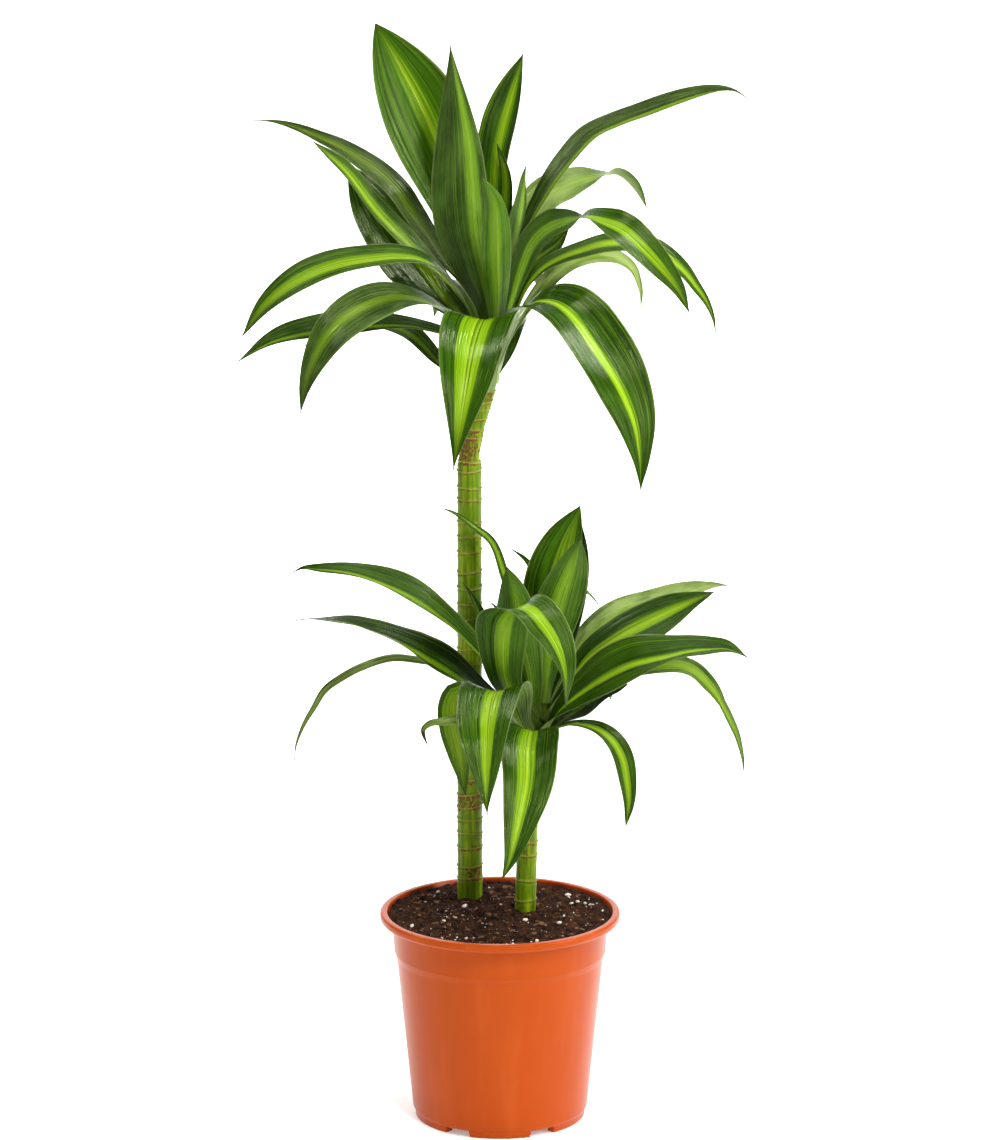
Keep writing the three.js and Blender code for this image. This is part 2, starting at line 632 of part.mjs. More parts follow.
// The leaves of the short cane's head: those in front first, then right, left, upright and behind.
const LOWER_LEAVES = {
  lower_leaf_front_hanging: {
    width: 41.5,
    seat: [268, -20],
    widest: 0.42,
    taper: 1.15,
    path: [
      [-2, -22, -2], [-1, -46, 3], [-3, -72, -10], [-4, -94, -35], [-9, -111, -62], [-16, -125, -90],
      [-23, -134, -107],
    ],
  },
  lower_leaf_front_left_hanging: {
    width: 48,
    seat: [244, -2],
    face: 252,
    widest: 0.42,
    taper: 1.3,
    path: [
      [-10, -16, 8], [-19, -34, 24], [-28, -54, 32], [-33, -76, 14], [-34, -92, -10], [-34, -102, -35],
      [-33, -108, -59],
    ],
  },
  lower_leaf_left_striped_hanging: {
    width: 22,
    seat: [200, -18],
    face: 204,
    roll: [0, 30, 55, 60],
    path: [
      [-17, -13, 1], [-34, -22.5, 14.5], [-46, -29, 25], [-53, -32, 28.5], [-57, -33, 20],
      [-56.5, -34, 6.5], [-53, -33, -11], [-50.5, -31.5, -27.5], [-48.5, -30.5, -43.5],
    ],
  },
  lower_leaf_left_dry_tip: {
    width: 9,
    seat: [240, -9],
    roll: [0, 30, 60],
    path: [
      [-10, -22, 6], [-28, -42, 12], [-50, -54, 11], [-66, -60, 9.5], [-73, -62, 8.5], [-78, -64, 4],
      [-75, -65, -8],
    ],
  },
  lower_leaf_front_arch: {
    width: 40,
    seat: [262, 4],
    widest: 0.5,
    taper: 1.1,
    roll: [0, 0, 0, 0, -5, -25, -50, -65, -62, -55, -50],
    path: [
      [-8, -14, 18], [-20, -26, 38], [-23, -36, 62], [-20, -46, 83], [-13, -56, 92], [-3, -63, 91],
      [7, -68, 80], [16, -71, 65], [21.5, -73, 47], [22.5, -74, 20],
    ],
  },
  lower_leaf_front_upright: {
    width: 34,
    seat: [252, 12],
    face: 256,
    path: [[-4, -14, 40], [-12, -19, 70], [-15, -21, 100], [-19, -21, 122]],
  },
  lower_leaf_right_low: {
    width: 17,
    seat: [338, -20],
    roll: [0, -10, -40, -60],
    path: [
      [12, -6, 2], [22, -9, 7], [30, -13, 8], [45, -18, 4], [55, -22, -4], [62, -25, -16], [66, -28, -35],
      [67, -30, -50], [65, -31, -67],
    ],
  },
  lower_leaf_right_large: {
    width: 43,
    seat: [313, -5],
    roll: [0, -40, -75, -75, -62, -52, -42, -34, -30],
    path: [
      [12, -10, 10], [23, -17, 23], [33.5, -21, 31.5], [44, -25, 39], [55, -29, 45.5], [68, -33, 51.5],
      [81, -36, 55], [95, -39, 58], [108, -42, 61], [122, -45, 62.5], [136, -48, 62.5], [150, -50, 56.7],
    ],
  },
  lower_leaf_right_under: {
    width: 26,
    seat: [18, -8],
    roll: [0, -20, -20],
    path: [[13, 6, 4], [30, 8, 18], [50, 7, 31], [66, 4, 37]],
  },
  lower_leaf_right_striped: {
    width: 42,
    seat: [351, 9],
    roll: [0, -25, -40, -38],
    path: [[18, 2, 27], [36, 0, 51.5], [62, 0, 69.5], [85, 0, 81.5], [105, -1, 92.5], [126, -2, 104]],
  },
  lower_leaf_right_high: {
    width: 26,
    seat: [39, 6],
    taper: 1.3,
    roll: [0, -15, -15],
    path: [
      [14, 9, 23], [24, 16, 46], [38, 23, 70], [60, 29, 87], [85, 35, 96], [110, 39, 105], [127, 42, 109],
      [138, 43, 108.5],
    ],
  },
  lower_leaf_right_back_hanging: {
    width: 13,
    seat: [40, -15],
    roll: [0, -10, -15, -20, -30, -40, -48, -54, -55, -20, -30, -38, -40],
    path: [
      [12, 10, 4], [28, 21, 26], [50, 30, 43], [72, 35, 48], [90, 38, 51], [104, 42, 51],
      [112.5, 44, 47.5], [119.5, 46, 41], [126.5, 47, 32], [132, 48, 22], [138.5, 49, 9.5],
      [143, 50, -0.5], [146, 50, -11.5], [147.5, 50, -20], [147.5, 50, -30],
    ],
  },
  lower_leaf_back_right_thin: {
    width: 10,
    seat: [63, -3],
    path: [[18, 28, 50], [26, 40, 85], [34, 47, 104], [42, 51, 99], [50, 54, 86]],
  },
  lower_leaf_left_high_arch: {
    width: 30,
    seat: [189, 6],
    taper: 1.5,
    roll: [0, 25, 25, 25],
    path: [
      [-12, -1, 26], [-22, -2, 42], [-40, -4, 62], [-60, -6, 83], [-80, -8, 99], [-104, -11, 111],
      [-130, -14, 119], [-152, -16, 121], [-163, -17, 121], [-172, -18, 116],
    ],
  },
  lower_leaf_left_arch: {
    width: 38,
    seat: [197, 2],
    widest: 0.38,
    taper: 1.35,
    roll: [0, 25, 30, 10, 0],
    path: [
      [-13, -2.5, 9], [-22, -2, 19.5], [-30, -3, 26.5], [-40.5, -4, 34], [-51, -6, 42], [-62, -9, 50],
      [-72, -13, 56], [-83, -16, 62.5], [-104, -22, 72.5], [-115, -24, 76.5], [-129, -26, 81.5],
      [-150, -28, 84.5], [-164, -30, 84], [-174, -32, 81.4],
    ],
  },
  lower_leaf_left_drooping: {
    width: 6.5,
    seat: [168, -14],
    roll: [0, 30, 60, 70],
    path: [
      [-14, 3, 5], [-34, 6, 27], [-58, 10, 48], [-80, 16, 54], [-100, 20, 56], [-120, 22, 50],
      [-135, 24, 42], [-147, 25, 33], [-155, 26, 20], [-162, 26, 8], [-168, 26, -8], [-169, 26, -19],
    ],
  },
  lower_leaf_left_thin: {
    width: 12,
    seat: [166, 28],
    face: 150,
    path: [
      [-8, 0, 55], [-12, -1, 84], [-22, 6, 116], [-31, 11, 140], [-42, 11, 150], [-55, 11, 160],
      [-66, 11, 165],
    ],
  },
  lower_leaf_left_small: {
    width: 15,
    seat: [170, 16],
    face: 150,
    path: [[-12, 7, 40], [-24, 11, 62], [-36, 13, 82], [-43, 13, 98], [-50, 13, 111]],
  },
  lower_leaf_back_left_small: {
    width: 9,
    seat: [148, 14],
    path: [[-6, 18, 50], [-16, 24, 74], [-25, 27, 90], [-32, 29, 98]],
  },
  lower_leaf_back_thin: {
    width: 7,
    seat: [126, 18],
    face: 90,
    path: [[4, 22, 60], [5, 28, 100], [-4, 33, 125], [-17, 37, 136]],
  },
  lower_leaf_back_upright: {
    width: 41,
    seat: [92, 26],
    face: 90,
    path: [[6, 9, 60], [12, 12, 110], [20, 14, 140], [32, 16, 166]],
  },
  lower_leaf_right_upright: {
    width: 36,
    seat: [290, 24],
    face: 282,
    path: [[10, -7, 55], [19, -8, 95], [28, -8, 125], [32, -8, 143]],
  },
  lower_leaf_back_right_upright: {
    width: 30,
    seat: [74, 15],
    face: 80,
    path: [[14, 17, 50], [23, 23, 100], [28, 26, 130], [31, 27, 160]],
  },
  lower_leaf_rear: {
    width: 40,
    seat: [96, -29],
    face: 96,
    path: [[1, 17, -10], [1, 40, 18], [0, 66, 26], [-1, 90, 15], [-2, 106, -3]],
  },
  lower_leaf_rear_left: {
    width: 28,
    seat: [120, -8],
    path: [[-6, 18, 14], [-14, 40, 46], [-20, 66, 56], [-24, 88, 50], [-26, 102, 34]],
  },
  lower_leaf_rear_right: {
    width: 32,
    seat: [85, -12],
    path: [[6, 19, 6], [20, 42, 34], [34, 64, 46], [46, 82, 42], [54, 94, 26]],
  },
};

// ---------------------------------------------------------------- materials and assembly

const terracottaPlastic = new THREE.MeshStandardMaterial({ color: 0xd05824, roughness: 0.4, metalness: 0 });
const pottingSoil = new THREE.MeshStandardMaterial({ color: 0x3c2316, roughness: 1, metalness: 0 });
const caneBark = new THREE.MeshStandardMaterial({ color: 0x6a7f24, roughness: 0.6, metalness: 0 });
const leafBlade = new THREE.MeshStandardMaterial({ color: 0x4f8a1e, roughness: 0.35, metalness: 0 });

add("pot", buildPot(), terracottaPlastic);
add("soil", buildSoil(), pottingSoil);
add("tall_cane", buildCane(TALL_AXIS, TALL_RADII, [TALL_SCARS, SHOOT_SCARS]), caneBark);
add("short_cane", buildCane(SHORT_AXIS, SHORT_RADII, [SHORT_SCARS]), caneBark);
for (const [name, leaf] of Object.entries(UPPER_LEAVES)) {
  add(name, buildLeaf(UPPER_HEAD, leaf), leafBlade);
}
for (const [name, leaf] of Object.entries(LOWER_LEAVES)) {
  add(name, buildLeaf(LOWER_HEAD, leaf), leafBlade);
}

export default plant;
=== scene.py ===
import math

import bpy
import numpy as np
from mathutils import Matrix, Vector, noise


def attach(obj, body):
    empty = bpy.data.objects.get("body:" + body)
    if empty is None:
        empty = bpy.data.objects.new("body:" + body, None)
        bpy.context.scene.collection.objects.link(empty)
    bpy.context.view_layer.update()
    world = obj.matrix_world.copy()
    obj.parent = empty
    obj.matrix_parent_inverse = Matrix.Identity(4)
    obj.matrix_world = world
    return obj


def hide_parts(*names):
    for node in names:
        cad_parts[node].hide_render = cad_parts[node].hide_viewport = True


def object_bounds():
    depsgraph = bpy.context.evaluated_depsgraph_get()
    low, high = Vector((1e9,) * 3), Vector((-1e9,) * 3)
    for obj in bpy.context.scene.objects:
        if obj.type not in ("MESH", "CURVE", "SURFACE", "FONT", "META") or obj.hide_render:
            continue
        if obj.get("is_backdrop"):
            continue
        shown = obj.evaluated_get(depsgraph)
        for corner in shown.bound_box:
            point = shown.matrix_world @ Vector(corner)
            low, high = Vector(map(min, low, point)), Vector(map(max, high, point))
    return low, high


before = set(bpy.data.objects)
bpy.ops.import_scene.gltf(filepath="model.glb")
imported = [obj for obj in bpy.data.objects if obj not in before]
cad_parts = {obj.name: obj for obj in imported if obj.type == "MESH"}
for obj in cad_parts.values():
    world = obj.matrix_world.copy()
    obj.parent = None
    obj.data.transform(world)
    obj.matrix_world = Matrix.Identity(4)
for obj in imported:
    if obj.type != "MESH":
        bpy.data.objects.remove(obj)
solid_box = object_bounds()
MM = 0.001

# ---------------------------------------------------------------- view
# The plant is seen from the front and a little above, from four metres away, through a long lens.
scene = bpy.context.scene
camera_data = bpy.data.cameras.new("view")
camera_data.lens = 186.25
camera_data.sensor_width = 36
camera = bpy.data.objects.new("view", camera_data)
camera.location = (0, -4.0, 1.3729)
camera.rotation_euler = (math.radians(90 - 13.7), 0, 0)
scene.collection.objects.link(camera)
scene.camera = camera

# ---------------------------------------------------------------- studio
# A plain white sweep: a floor that curves up behind the plant, lit by large soft boxes.
FLOOR_HALF_WIDTH = 3.0
FLOOR_FRONT = -1.6
SWEEP_START = 4.6
SWEEP_RADIUS = 2.0
SWEEP_TOP = 6.0
SWEEP_STEPS = 16


def mesh_object(name, vertices, faces, smooth=True):
    """An object made of vertices in metres, with smooth or flat faces."""
    mesh = bpy.data.meshes.new(name)
    mesh.from_pydata([tuple(v) for v in vertices], [], faces)
    mesh.polygons.foreach_set("use_smooth", [smooth] * len(mesh.polygons))
    mesh.update()
    made = bpy.data.objects.new(name, mesh)
    scene.collection.objects.link(made)
    return made


def feed(tree, socket, value):
    """Sets a socket to a value, or links it to the output that feeds it."""
    if isinstance(value, bpy.types.NodeSocket):
        tree.links.new(value, socket)
    else:
        socket.default_value = value


def shade(tree, kind, inputs, **settings):
    """One shader node with its settings, and its inputs by name or number."""
    made = tree.nodes.new("ShaderNode" + kind)
    for name, value in settings.items():
        setattr(made, name, value)
    for name, value in inputs.items():
        feed(tree, made.inputs[name], value)
    return made


def calculate(tree, operation, first, second=0.0, third=0.0):
    return shade(tree, "Math", {0: first, 1: second, 2: third}, operation=operation).outputs[0]


def tint(tree, share, low, high):
    """The colour between low and high, by share."""
    made = shade(tree, "Mix", {0: share, 6: low, 7: high}, data_type="RGBA")
    return made.outputs[2]


def step_up(tree, value, low, high, to=1.0):
    """0 where value is under low, `to` where it is over high, smooth in between."""
    made = shade(
        tree,
        "MapRange",
        {"Value": value, "From Min": low, "From Max": high, "To Min": 0.0, "To Max": to},
        interpolation_type="SMOOTHSTEP",
    )
    return made.outputs[0]


def cloud(tree, vector, scale, detail=3.0, roughness=0.55):
    made = shade(
        tree, "TexNoise", {"Vector": vector, "Scale": scale, "Detail": detail, "Roughness": roughness}
    )
    return made.outputs[0]


def new_finish(name, roughness=0.5, specular=0.5, glint=(1, 1, 1)):
    """A material, with its node tree and its shader."""
    material = bpy.data.materials.new(name)
    material.use_nodes = True
    shader = material.node_tree.nodes["Principled BSDF"]
    shader.inputs["Roughness"].default_value = roughness
    shader.inputs["Specular IOR Level"].default_value = specular
    shader.inputs["Specular Tint"].default_value = (*glint, 1)
    return material, material.node_tree, shader


def object_place(tree):
    return shade(tree, "TexCoord", {}).outputs["Object"]


sweep_profile = [(FLOOR_FRONT, 0.0), (SWEEP_START, 0.0)]
for k in range(1, SWEEP_STEPS + 1):
    turn = 0.5 * math.pi * k / SWEEP_STEPS
    back, up = SWEEP_RADIUS * math.sin(turn), SWEEP_RADIUS * (1 - math.cos(turn))
    sweep_profile.append((SWEEP_START + back, up))
sweep_profile.append((SWEEP_START + SWEEP_RADIUS, SWEEP_TOP))
sweep_vertices = [(x, y, z) for y, z in sweep_profile for x in (-FLOOR_HALF_WIDTH, FLOOR_HALF_WIDTH)]
sweep_faces = [(2 * k, 2 * k + 1, 2 * k + 3, 2 * k + 2) for k in range(len(sweep_profile) - 1)]
sweep = mesh_object("studio_sweep", sweep_vertices, sweep_faces)
paper, paper_tree, paper_shader = new_finish("white_paper", roughness=0.9, specular=0.2)
paper_cloud = cloud(paper_tree, object_place(paper_tree), 3.0)
paper_colour = tint(paper_tree, paper_cloud, (0.88, 0.88, 0.87, 1), (0.91, 0.91, 0.90, 1))
feed(paper_tree, paper_shader.inputs["Base Color"], paper_colour)
paper_shader.inputs["Emission Color"].default_value = (1, 1, 1, 1)
paper_shader.inputs["Emission Strength"].default_value = 0.25
sweep.data.materials.append(paper)
sweep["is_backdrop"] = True

scene.view_settings.view_transform = "Standard"
world = bpy.data.worlds.new("studio_air")
world.use_nodes = True
world.node_tree.nodes["Background"].inputs["Color"].default_value = (1, 1, 1, 1)
world.node_tree.nodes["Background"].inputs["Strength"].default_value = 0.2
scene.world = world


def soft_box(name, place, aim, width, height, watts):
    """A rectangular studio light that points at aim."""
    lamp = bpy.data.lights.new(name, "AREA")
    lamp.shape = "RECTANGLE"
    lamp.size = width
    lamp.size_y = height
    lamp.energy = watts
    made = bpy.data.objects.new(name, lamp)
    made.location = place
    made.rotation_euler = (Vector(aim) - Vector(place)).to_track_quat("-Z", "Y").to_euler()
    scene.collection.objects.link(made)


soft_box("front_box", (0.7, -1.8, 2.5), (0, 0, 0.5), 0.6, 0.5, 43)
soft_box("top_box", (0.3, -0.3, 3.0), (0, 0, 0.5), 0.9, 0.6, 34)
soft_box("right_box", (2.3, -1.1, 1.3), (0, 0, 0.4), 0.4, 1.4, 58)
soft_box("left_box", (-2.4, -1.0, 1.4), (0, 0, 0.4), 0.4, 1.4, 9)
soft_box("right_rear_box", (1.7, 0.9, 2.3), (0, 0, 0.5), 0.5, 0.5, 36)
soft_box("left_rear_box", (-1.6, 0.9, 2.4), (0, 0, 0.5), 0.5, 0.5, 22)
soft_box("strip_box", (-0.85, -2.3, 1.0), (0, 0, 0.65), 0.12, 0.9, 9)
soft_box("backdrop_box", (0, 2.2, 2.8), (0, 5.0, 0.0), 4.5, 1.2, 380)

# ---------------------------------------------------------------- pot
# A thin injection-moulded plastic pot: a rolled rim, a stepped collar, a tapered body and a foot ring
# with openings, so that water drains from the holes in its floor.
FOOT_RING_INNER = 53.0
FLOOR_UNDERSIDE = 5.0
FOOT_COUNT = 6
FOOT_OPENING = 18.0
DRAIN_HOLE_RADIUS = 4.0
DRAIN_HOLE_CIRCLE = 34.0
# The wall's section as (radius, height, rounding), from the middle of the underside round to the inside.
POT_SECTION = [
    (0, 5.6, 0), (3, 5.6, 0.3), (3.6, 5, 0.3), (24, 5, 0.3), (24.5, 4.5, 0.3), (26, 4.5, 0.3), (26.5, 5, 0.3),
    (53, 5, 0.6), (53.3, 0, 0.9), (60.3, 0, 1.1), (61.0, 5, 0.8), (62, 7, 1.4), (73.1, 116.2, 5),
    (75, 121.6, 5), (76.4, 144.2, 0.9), (83.6, 143.9, 0.9), (85, 145.6, 1.2), (85, 150, 2.1),
    (80, 150, 1.2), (79.2, 147.4, 1.0), (74.4, 142.6, 1.4), (73, 120.6, 2.0), (71.2, 117.6, 1.6),
    (60, 8, 3.0), (0, 8, 0),
]
FILLET_STEPS = 4
POT_STEP = 2.0
MOULD_MARK_AZIMUTH = 253.5
MOULD_MARK_HALF_WIDTH = 1.0
MOULD_MARK_RISE = 0.45
RIM_FROM = (80, 143)
DRAIN_SIDES = 32
DRAIN_CUT_HEIGHT = 12.0
CREASE_ANGLE = 50
FLOW_MARK_SCALE = (60, 60, 6)
# Where the pot's inside shows, in metres, as its material measures it. There the wall is painted a darker red
# as painted shade.
INSIDE_RADIUS = (0.0793, 0.0799)
ABOVE_SOIL = (0.1440, 0.1450)


def rounded_section(section):
    """The section's points with each corner rounded by its own radius."""
    points = []
    for k, (radius, height, rounding) in enumerate(section):
        if k in (0, len(section) - 1) or not rounding:
            points.append((radius, height))
            continue
        corner = np.array((radius, height))
        before = np.array(section[k - 1][:2]) - corner
        after = np.array(section[k + 1][:2]) - corner
        length_before, length_after = np.linalg.norm(before), np.linalg.norm(after)
        before, after = before / length_before, after / length_after
        half_angle = 0.5 * math.acos(float(np.clip(before @ after, -1, 1)))
        reach = min(rounding / math.tan(half_angle), 0.45 * length_before, 0.45 * length_after)
        start, end = corner + before * reach, corner + after * reach
        for j in range(FILLET_STEPS + 1):
            share = j / FILLET_STEPS
            curve = (1 - share) ** 2 * start + 2 * share * (1 - share) * corner + share**2 * end
            points.append(tuple(curve))
    return points


def pot_angles():
    """Angles round the pot, closer together at each end of a foot and at the moulding mark."""
    angles = list(np.arange(0, 360, POT_STEP))
    for k in range(FOOT_COUNT):
        middle = (k + 0.5) * 360 / FOOT_COUNT - 90
        for edge in (middle - FOOT_OPENING / 2, middle + FOOT_OPENING / 2):
            angles += [edge - 0.4, edge + 0.4]
    angles += [MOULD_MARK_AZIMUTH + MOULD_MARK_HALF_WIDTH * s for s in (-1.5, -1, -0.5, 0, 0.5, 1, 1.5)]
    turned = sorted(angle % 360 for angle in angles)
    return [a for k, a in enumerate(turned) if k == 0 or a - turned[k - 1] > 0.15]


def in_foot_opening(angle):
    turned = (angle + 90) % (360 / FOOT_COUNT)
    return abs(turned - 180 / FOOT_COUNT) < FOOT_OPENING / 2


def build_pot():
    section = rounded_section(POT_SECTION)
    angles = pot_angles()
    vertices, faces = [(0, 0, section[0][1]), (0, 0, section[-1][1])], []
    for radius, height in section[1:-1]:
        for angle in angles:
            turn = math.radians(angle)
            r, z = radius, height
            # In an opening the foot ring ends just below the floor's underside.
            if z < FLOOR_UNDERSIDE - 0.5 and r > FOOT_RING_INNER - 2 and in_foot_opening(angle):
                z = FLOOR_UNDERSIDE - 0.4 + 0.05 * z
            if r > RIM_FROM[0] and z > RIM_FROM[1]:
                aside = (angle - MOULD_MARK_AZIMUTH) / MOULD_MARK_HALF_WIDTH
                r += MOULD_MARK_RISE * math.exp(-aside * aside)
            vertices.append((r * math.cos(turn), r * math.sin(turn), z))
    around = len(angles)
    rows = len(section) - 2
    for j in range(around):
        after = (j + 1) % around
        faces.append((0, 2 + after, 2 + j))
        faces.append((1, 2 + (rows - 1) * around + j, 2 + (rows - 1) * around + after))
        for i in range(rows - 1):
            low, high = 2 + i * around, 2 + (i + 1) * around
            faces.append((low + j, low + after, high + after, high + j))
    return mesh_object("grow_pot", np.array(vertices) * MM, faces)


def cut_drain_holes(pot):
    """Cuts the round holes through the pot's floor."""
    vertices, faces = [], []
    for k in range(FOOT_COUNT):
        around = math.radians(360 / FOOT_COUNT * k)
        first = len(vertices)
        for z in (0.0, DRAIN_CUT_HEIGHT):
            for j in range(DRAIN_SIDES):
                turn = 2 * math.pi * j / DRAIN_SIDES
                x = DRAIN_HOLE_CIRCLE * math.cos(around) + DRAIN_HOLE_RADIUS * math.cos(turn)
                y = DRAIN_HOLE_CIRCLE * math.sin(around) + DRAIN_HOLE_RADIUS * math.sin(turn)
                vertices.append((x, y, z))
        faces.append([first + j for j in reversed(range(DRAIN_SIDES))])
        faces.append([first + DRAIN_SIDES + j for j in range(DRAIN_SIDES)])
        for j in range(DRAIN_SIDES):
            after = (j + 1) % DRAIN_SIDES
            faces.append((first + j, first + after, first + DRAIN_SIDES + after, first + DRAIN_SIDES + j))
    cutter = mesh_object("drain_cutter", np.array(vertices) * MM, faces, smooth=False)
    cut = pot.modifiers.new("drain", "BOOLEAN")
    cut.object = cutter
    cut.solver = "EXACT"
    bpy.context.view_layer.update()
    result = bpy.data.meshes.new_from_object(pot.evaluated_get(bpy.context.evaluated_depsgraph_get()))
    pot.modifiers.clear()
    pot.data = result
    bpy.data.objects.remove(cutter)


def step_down(tree, value, low, high, to=1.0):
    return calculate(tree, "SUBTRACT", 1.0, step_up(tree, value, low, high, to))


def split(tree, vector):
    return shade(tree, "SeparateXYZ", {0: vector}).outputs


def roughen(tree, shader, height, strength, distance):
    """Relief in a finish, distance metres deep."""
    bump = shade(tree, "Bump", {"Strength": strength, "Distance": distance, "Height": height})
    feed(tree, shader.inputs["Normal"], bump.outputs[0])


def terracotta_plastic():
    """Faintly mottled plastic with paler flow marks, and painted shade: a darker red inside above the soil."""
    material, tree, shader = new_finish("terracotta_plastic", specular=0.2, glint=(1, 0.65, 0.45))
    place = object_place(tree)
    stretched = shade(tree, "Mapping", {"Vector": place, "Scale": FLOW_MARK_SCALE}).outputs[0]
    flow_marks = cloud(tree, stretched, 1.0, detail=4)
    mottle = cloud(tree, place, 22.0, detail=5, roughness=0.6)
    colour = tint(tree, mottle, (0.355, 0.047, 0.002, 1), (0.39, 0.055, 0.003, 1))
    colour = tint(tree, step_up(tree, flow_marks, 0.45, 0.8, 0.35), colour, (0.48, 0.085, 0.010, 1))
    axes = split(tree, place)
    flat = shade(tree, "CombineXYZ", {0: axes[0], 1: axes[1], 2: 0.0}).outputs[0]
    reach = shade(tree, "VectorMath", {0: flat}, operation="LENGTH").outputs["Value"]
    # Painted shade: the pot's inside above the soil is coloured a darker red.
    inner_wall = step_down(tree, reach, *INSIDE_RADIUS)
    inner_wall = calculate(tree, "MULTIPLY", inner_wall, step_up(tree, axes[2], *ABOVE_SOIL))
    colour = tint(tree, inner_wall, colour, (0.19, 0.018, 0.003, 1))
    feed(tree, shader.inputs["Base Color"], colour)
    scuffs = step_up(tree, cloud(tree, place, 140.0, detail=6, roughness=0.7), 0.5, 0.75, 0.04)
    feed(tree, shader.inputs["Roughness"], calculate(tree, "ADD", scuffs, 0.31))
    grain = cloud(tree, place, 900.0, detail=2)
    waves = calculate(tree, "MULTIPLY_ADD", flow_marks, 0.6, grain)
    roughen(tree, shader, waves, 0.05, 0.0004)
    return material


pot = build_pot()
cut_drain_holes(pot)
pot.data.set_sharp_from_angle(angle=math.radians(CREASE_ANGLE))
pot.data.materials.clear()
pot.data.materials.append(terracotta_plastic())
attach(pot, "root")
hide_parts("pot")

# ---------------------------------------------------------------- soil
# Dark peaty potting mix, filled to just under the rim and a little higher in the middle. Its top is all
# crumbs, so it is one mesh whose height follows overlapping round lumps of many sizes.
SOIL_RADIUS = 78.6
SOIL_EDGE_HEIGHT = 147.4
SOIL_MOUND = 0.4
RIM_SLOPE_CLEAR = 68.7
SOIL_BOTTOM = 8.3
# The soil's side down the inside of the pot, as (radius, height).
SOIL_SIDE = ((73.7, 142.2), (72.3, 122.0), (70.5, 116.5), (59.2, SOIL_BOTTOM))
SOIL_RINGS = 120
SOIL_SEGMENTS = 330
CRUMB_COUNT = 2600
CRUMB_SIZES = (0.9, 3.6)

rng = np.random.default_rng(11)


def scatter(count, reach):
    """Places spread evenly over a disc."""
    away = reach * np.sqrt(rng.random(count))
    turn = 2 * np.pi * rng.random(count)
    return away * np.cos(turn), away * np.sin(turn)


def soil_base(x, y):
    return SOIL_EDGE_HEIGHT + SOIL_MOUND * (1 - (x * x + y * y) / SOIL_RADIUS**2)


def soil_swell(x, y):
    broad = noise.noise(Vector((x * 0.12, y * 0.12, 3.0)))
    fine = noise.noise(Vector((x * 1.1, y * 1.1, 7.0)))
    return 0.9 * broad + 0.35 * fine


soil_radii = SOIL_RADIUS * np.linspace(0, 1, SOIL_RINGS + 1)[1:] ** 0.8
soil_turns = np.linspace(0, 2 * np.pi, SOIL_SEGMENTS, endpoint=False)
soil_x = np.outer(soil_radii, np.cos(soil_turns)).ravel()
soil_y = np.outer(soil_radii, np.sin(soil_turns)).ravel()
lumps = np.zeros(soil_x.size)
crumb_x, crumb_y = scatter(CRUMB_COUNT, SOIL_RADIUS)
crumb_size = CRUMB_SIZES[0] + (CRUMB_SIZES[1] - CRUMB_SIZES[0]) * rng.random(CRUMB_COUNT) ** 3
crumb_sink = rng.random(CRUMB_COUNT)
for x, y, size, sink in zip(crumb_x, crumb_y, crumb_size, crumb_sink):
    near = np.flatnonzero((np.abs(soil_x - x) < size) & (np.abs(soil_y - y) < size))
    away = ((soil_x[near] - x) ** 2 + (soil_y[near] - y) ** 2) / size**2
    height = size * (np.sqrt(np.clip(1 - away, 0, 1)) - 0.55 * sink)
    lumps[near] = np.maximum(lumps[near], height)
rough = np.array([soil_swell(x, y) for x, y in zip(soil_x, soil_y)])
soil_z = soil_base(soil_x, soil_y) + 0.9 * lumps + rough - 0.6
soil_z = np.maximum(soil_z, np.hypot(soil_x, soil_y) + RIM_SLOPE_CLEAR)
soil_vertices = [(0, 0, float(soil_z[:SOIL_SEGMENTS].mean())), (0, 0, SOIL_BOTTOM)]
soil_vertices += list(zip(soil_x, soil_y, soil_z))
for radius, height in SOIL_SIDE:
    soil_vertices += [(radius * math.cos(t), radius * math.sin(t), height) for t in soil_turns]
soil_faces = []
soil_rows = SOIL_RINGS + len(SOIL_SIDE)
for j in range(SOIL_SEGMENTS):
    after = (j + 1) % SOIL_SEGMENTS
    last = 2 + (soil_rows - 1) * SOIL_SEGMENTS
    soil_faces.append((0, 2 + j, 2 + after))
    soil_faces.append((1, last + after, last + j))
    for i in range(soil_rows - 1):
        inner, outer = 2 + i * SOIL_SEGMENTS, 2 + (i + 1) * SOIL_SEGMENTS
        soil_faces.append((inner + j, outer + j, outer + after, inner + after))
soil = mesh_object("potting_soil", np.array(soil_vertices) * MM, soil_faces)


def dark_peat():
    """Almost black clods with lighter brown crumbs."""
    material, tree, shader = new_finish("dark_peat", roughness=0.92, specular=0.12)
    place = object_place(tree)
    clods = cloud(tree, place, 150.0, detail=6, roughness=0.7)
    fine = cloud(tree, place, 700.0, detail=4, roughness=0.7)
    clod_share = step_up(tree, clods, 0.36, 0.74)
    colour = tint(tree, clod_share, (0.005, 0.0018, 0.0008, 1), (0.078, 0.027, 0.009, 1))
    colour = tint(tree, step_up(tree, fine, 0.55, 0.75, 0.6), colour, (0.19, 0.078, 0.030, 1))
    feed(tree, shader.inputs["Base Color"], colour)
    roughen(tree, shader, calculate(tree, "MULTIPLY_ADD", clods, 1.5, fine), 1.0, 0.0014)
    return material


soil.data.materials.append(dark_peat())
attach(soil, "root")
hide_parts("soil")

# ---------------------------------------------------------------- perlite and bark bits
# White grains of expanded perlite and small dark chips of bark lie loose in the top of the mix.
PERLITE_COUNT = 300
PERLITE_SIZES = (0.22, 1.9)
CHIP_COUNT = 150
CHIP_SIZES = (0.8, 2.4)
GRAIN_REACH = 74.0
# The places kept clear round the canes, as (x, y, radius).
CANE_FEET = ((-21.5, 42.0, 11.0), (18.0, 10.0, 9.0))


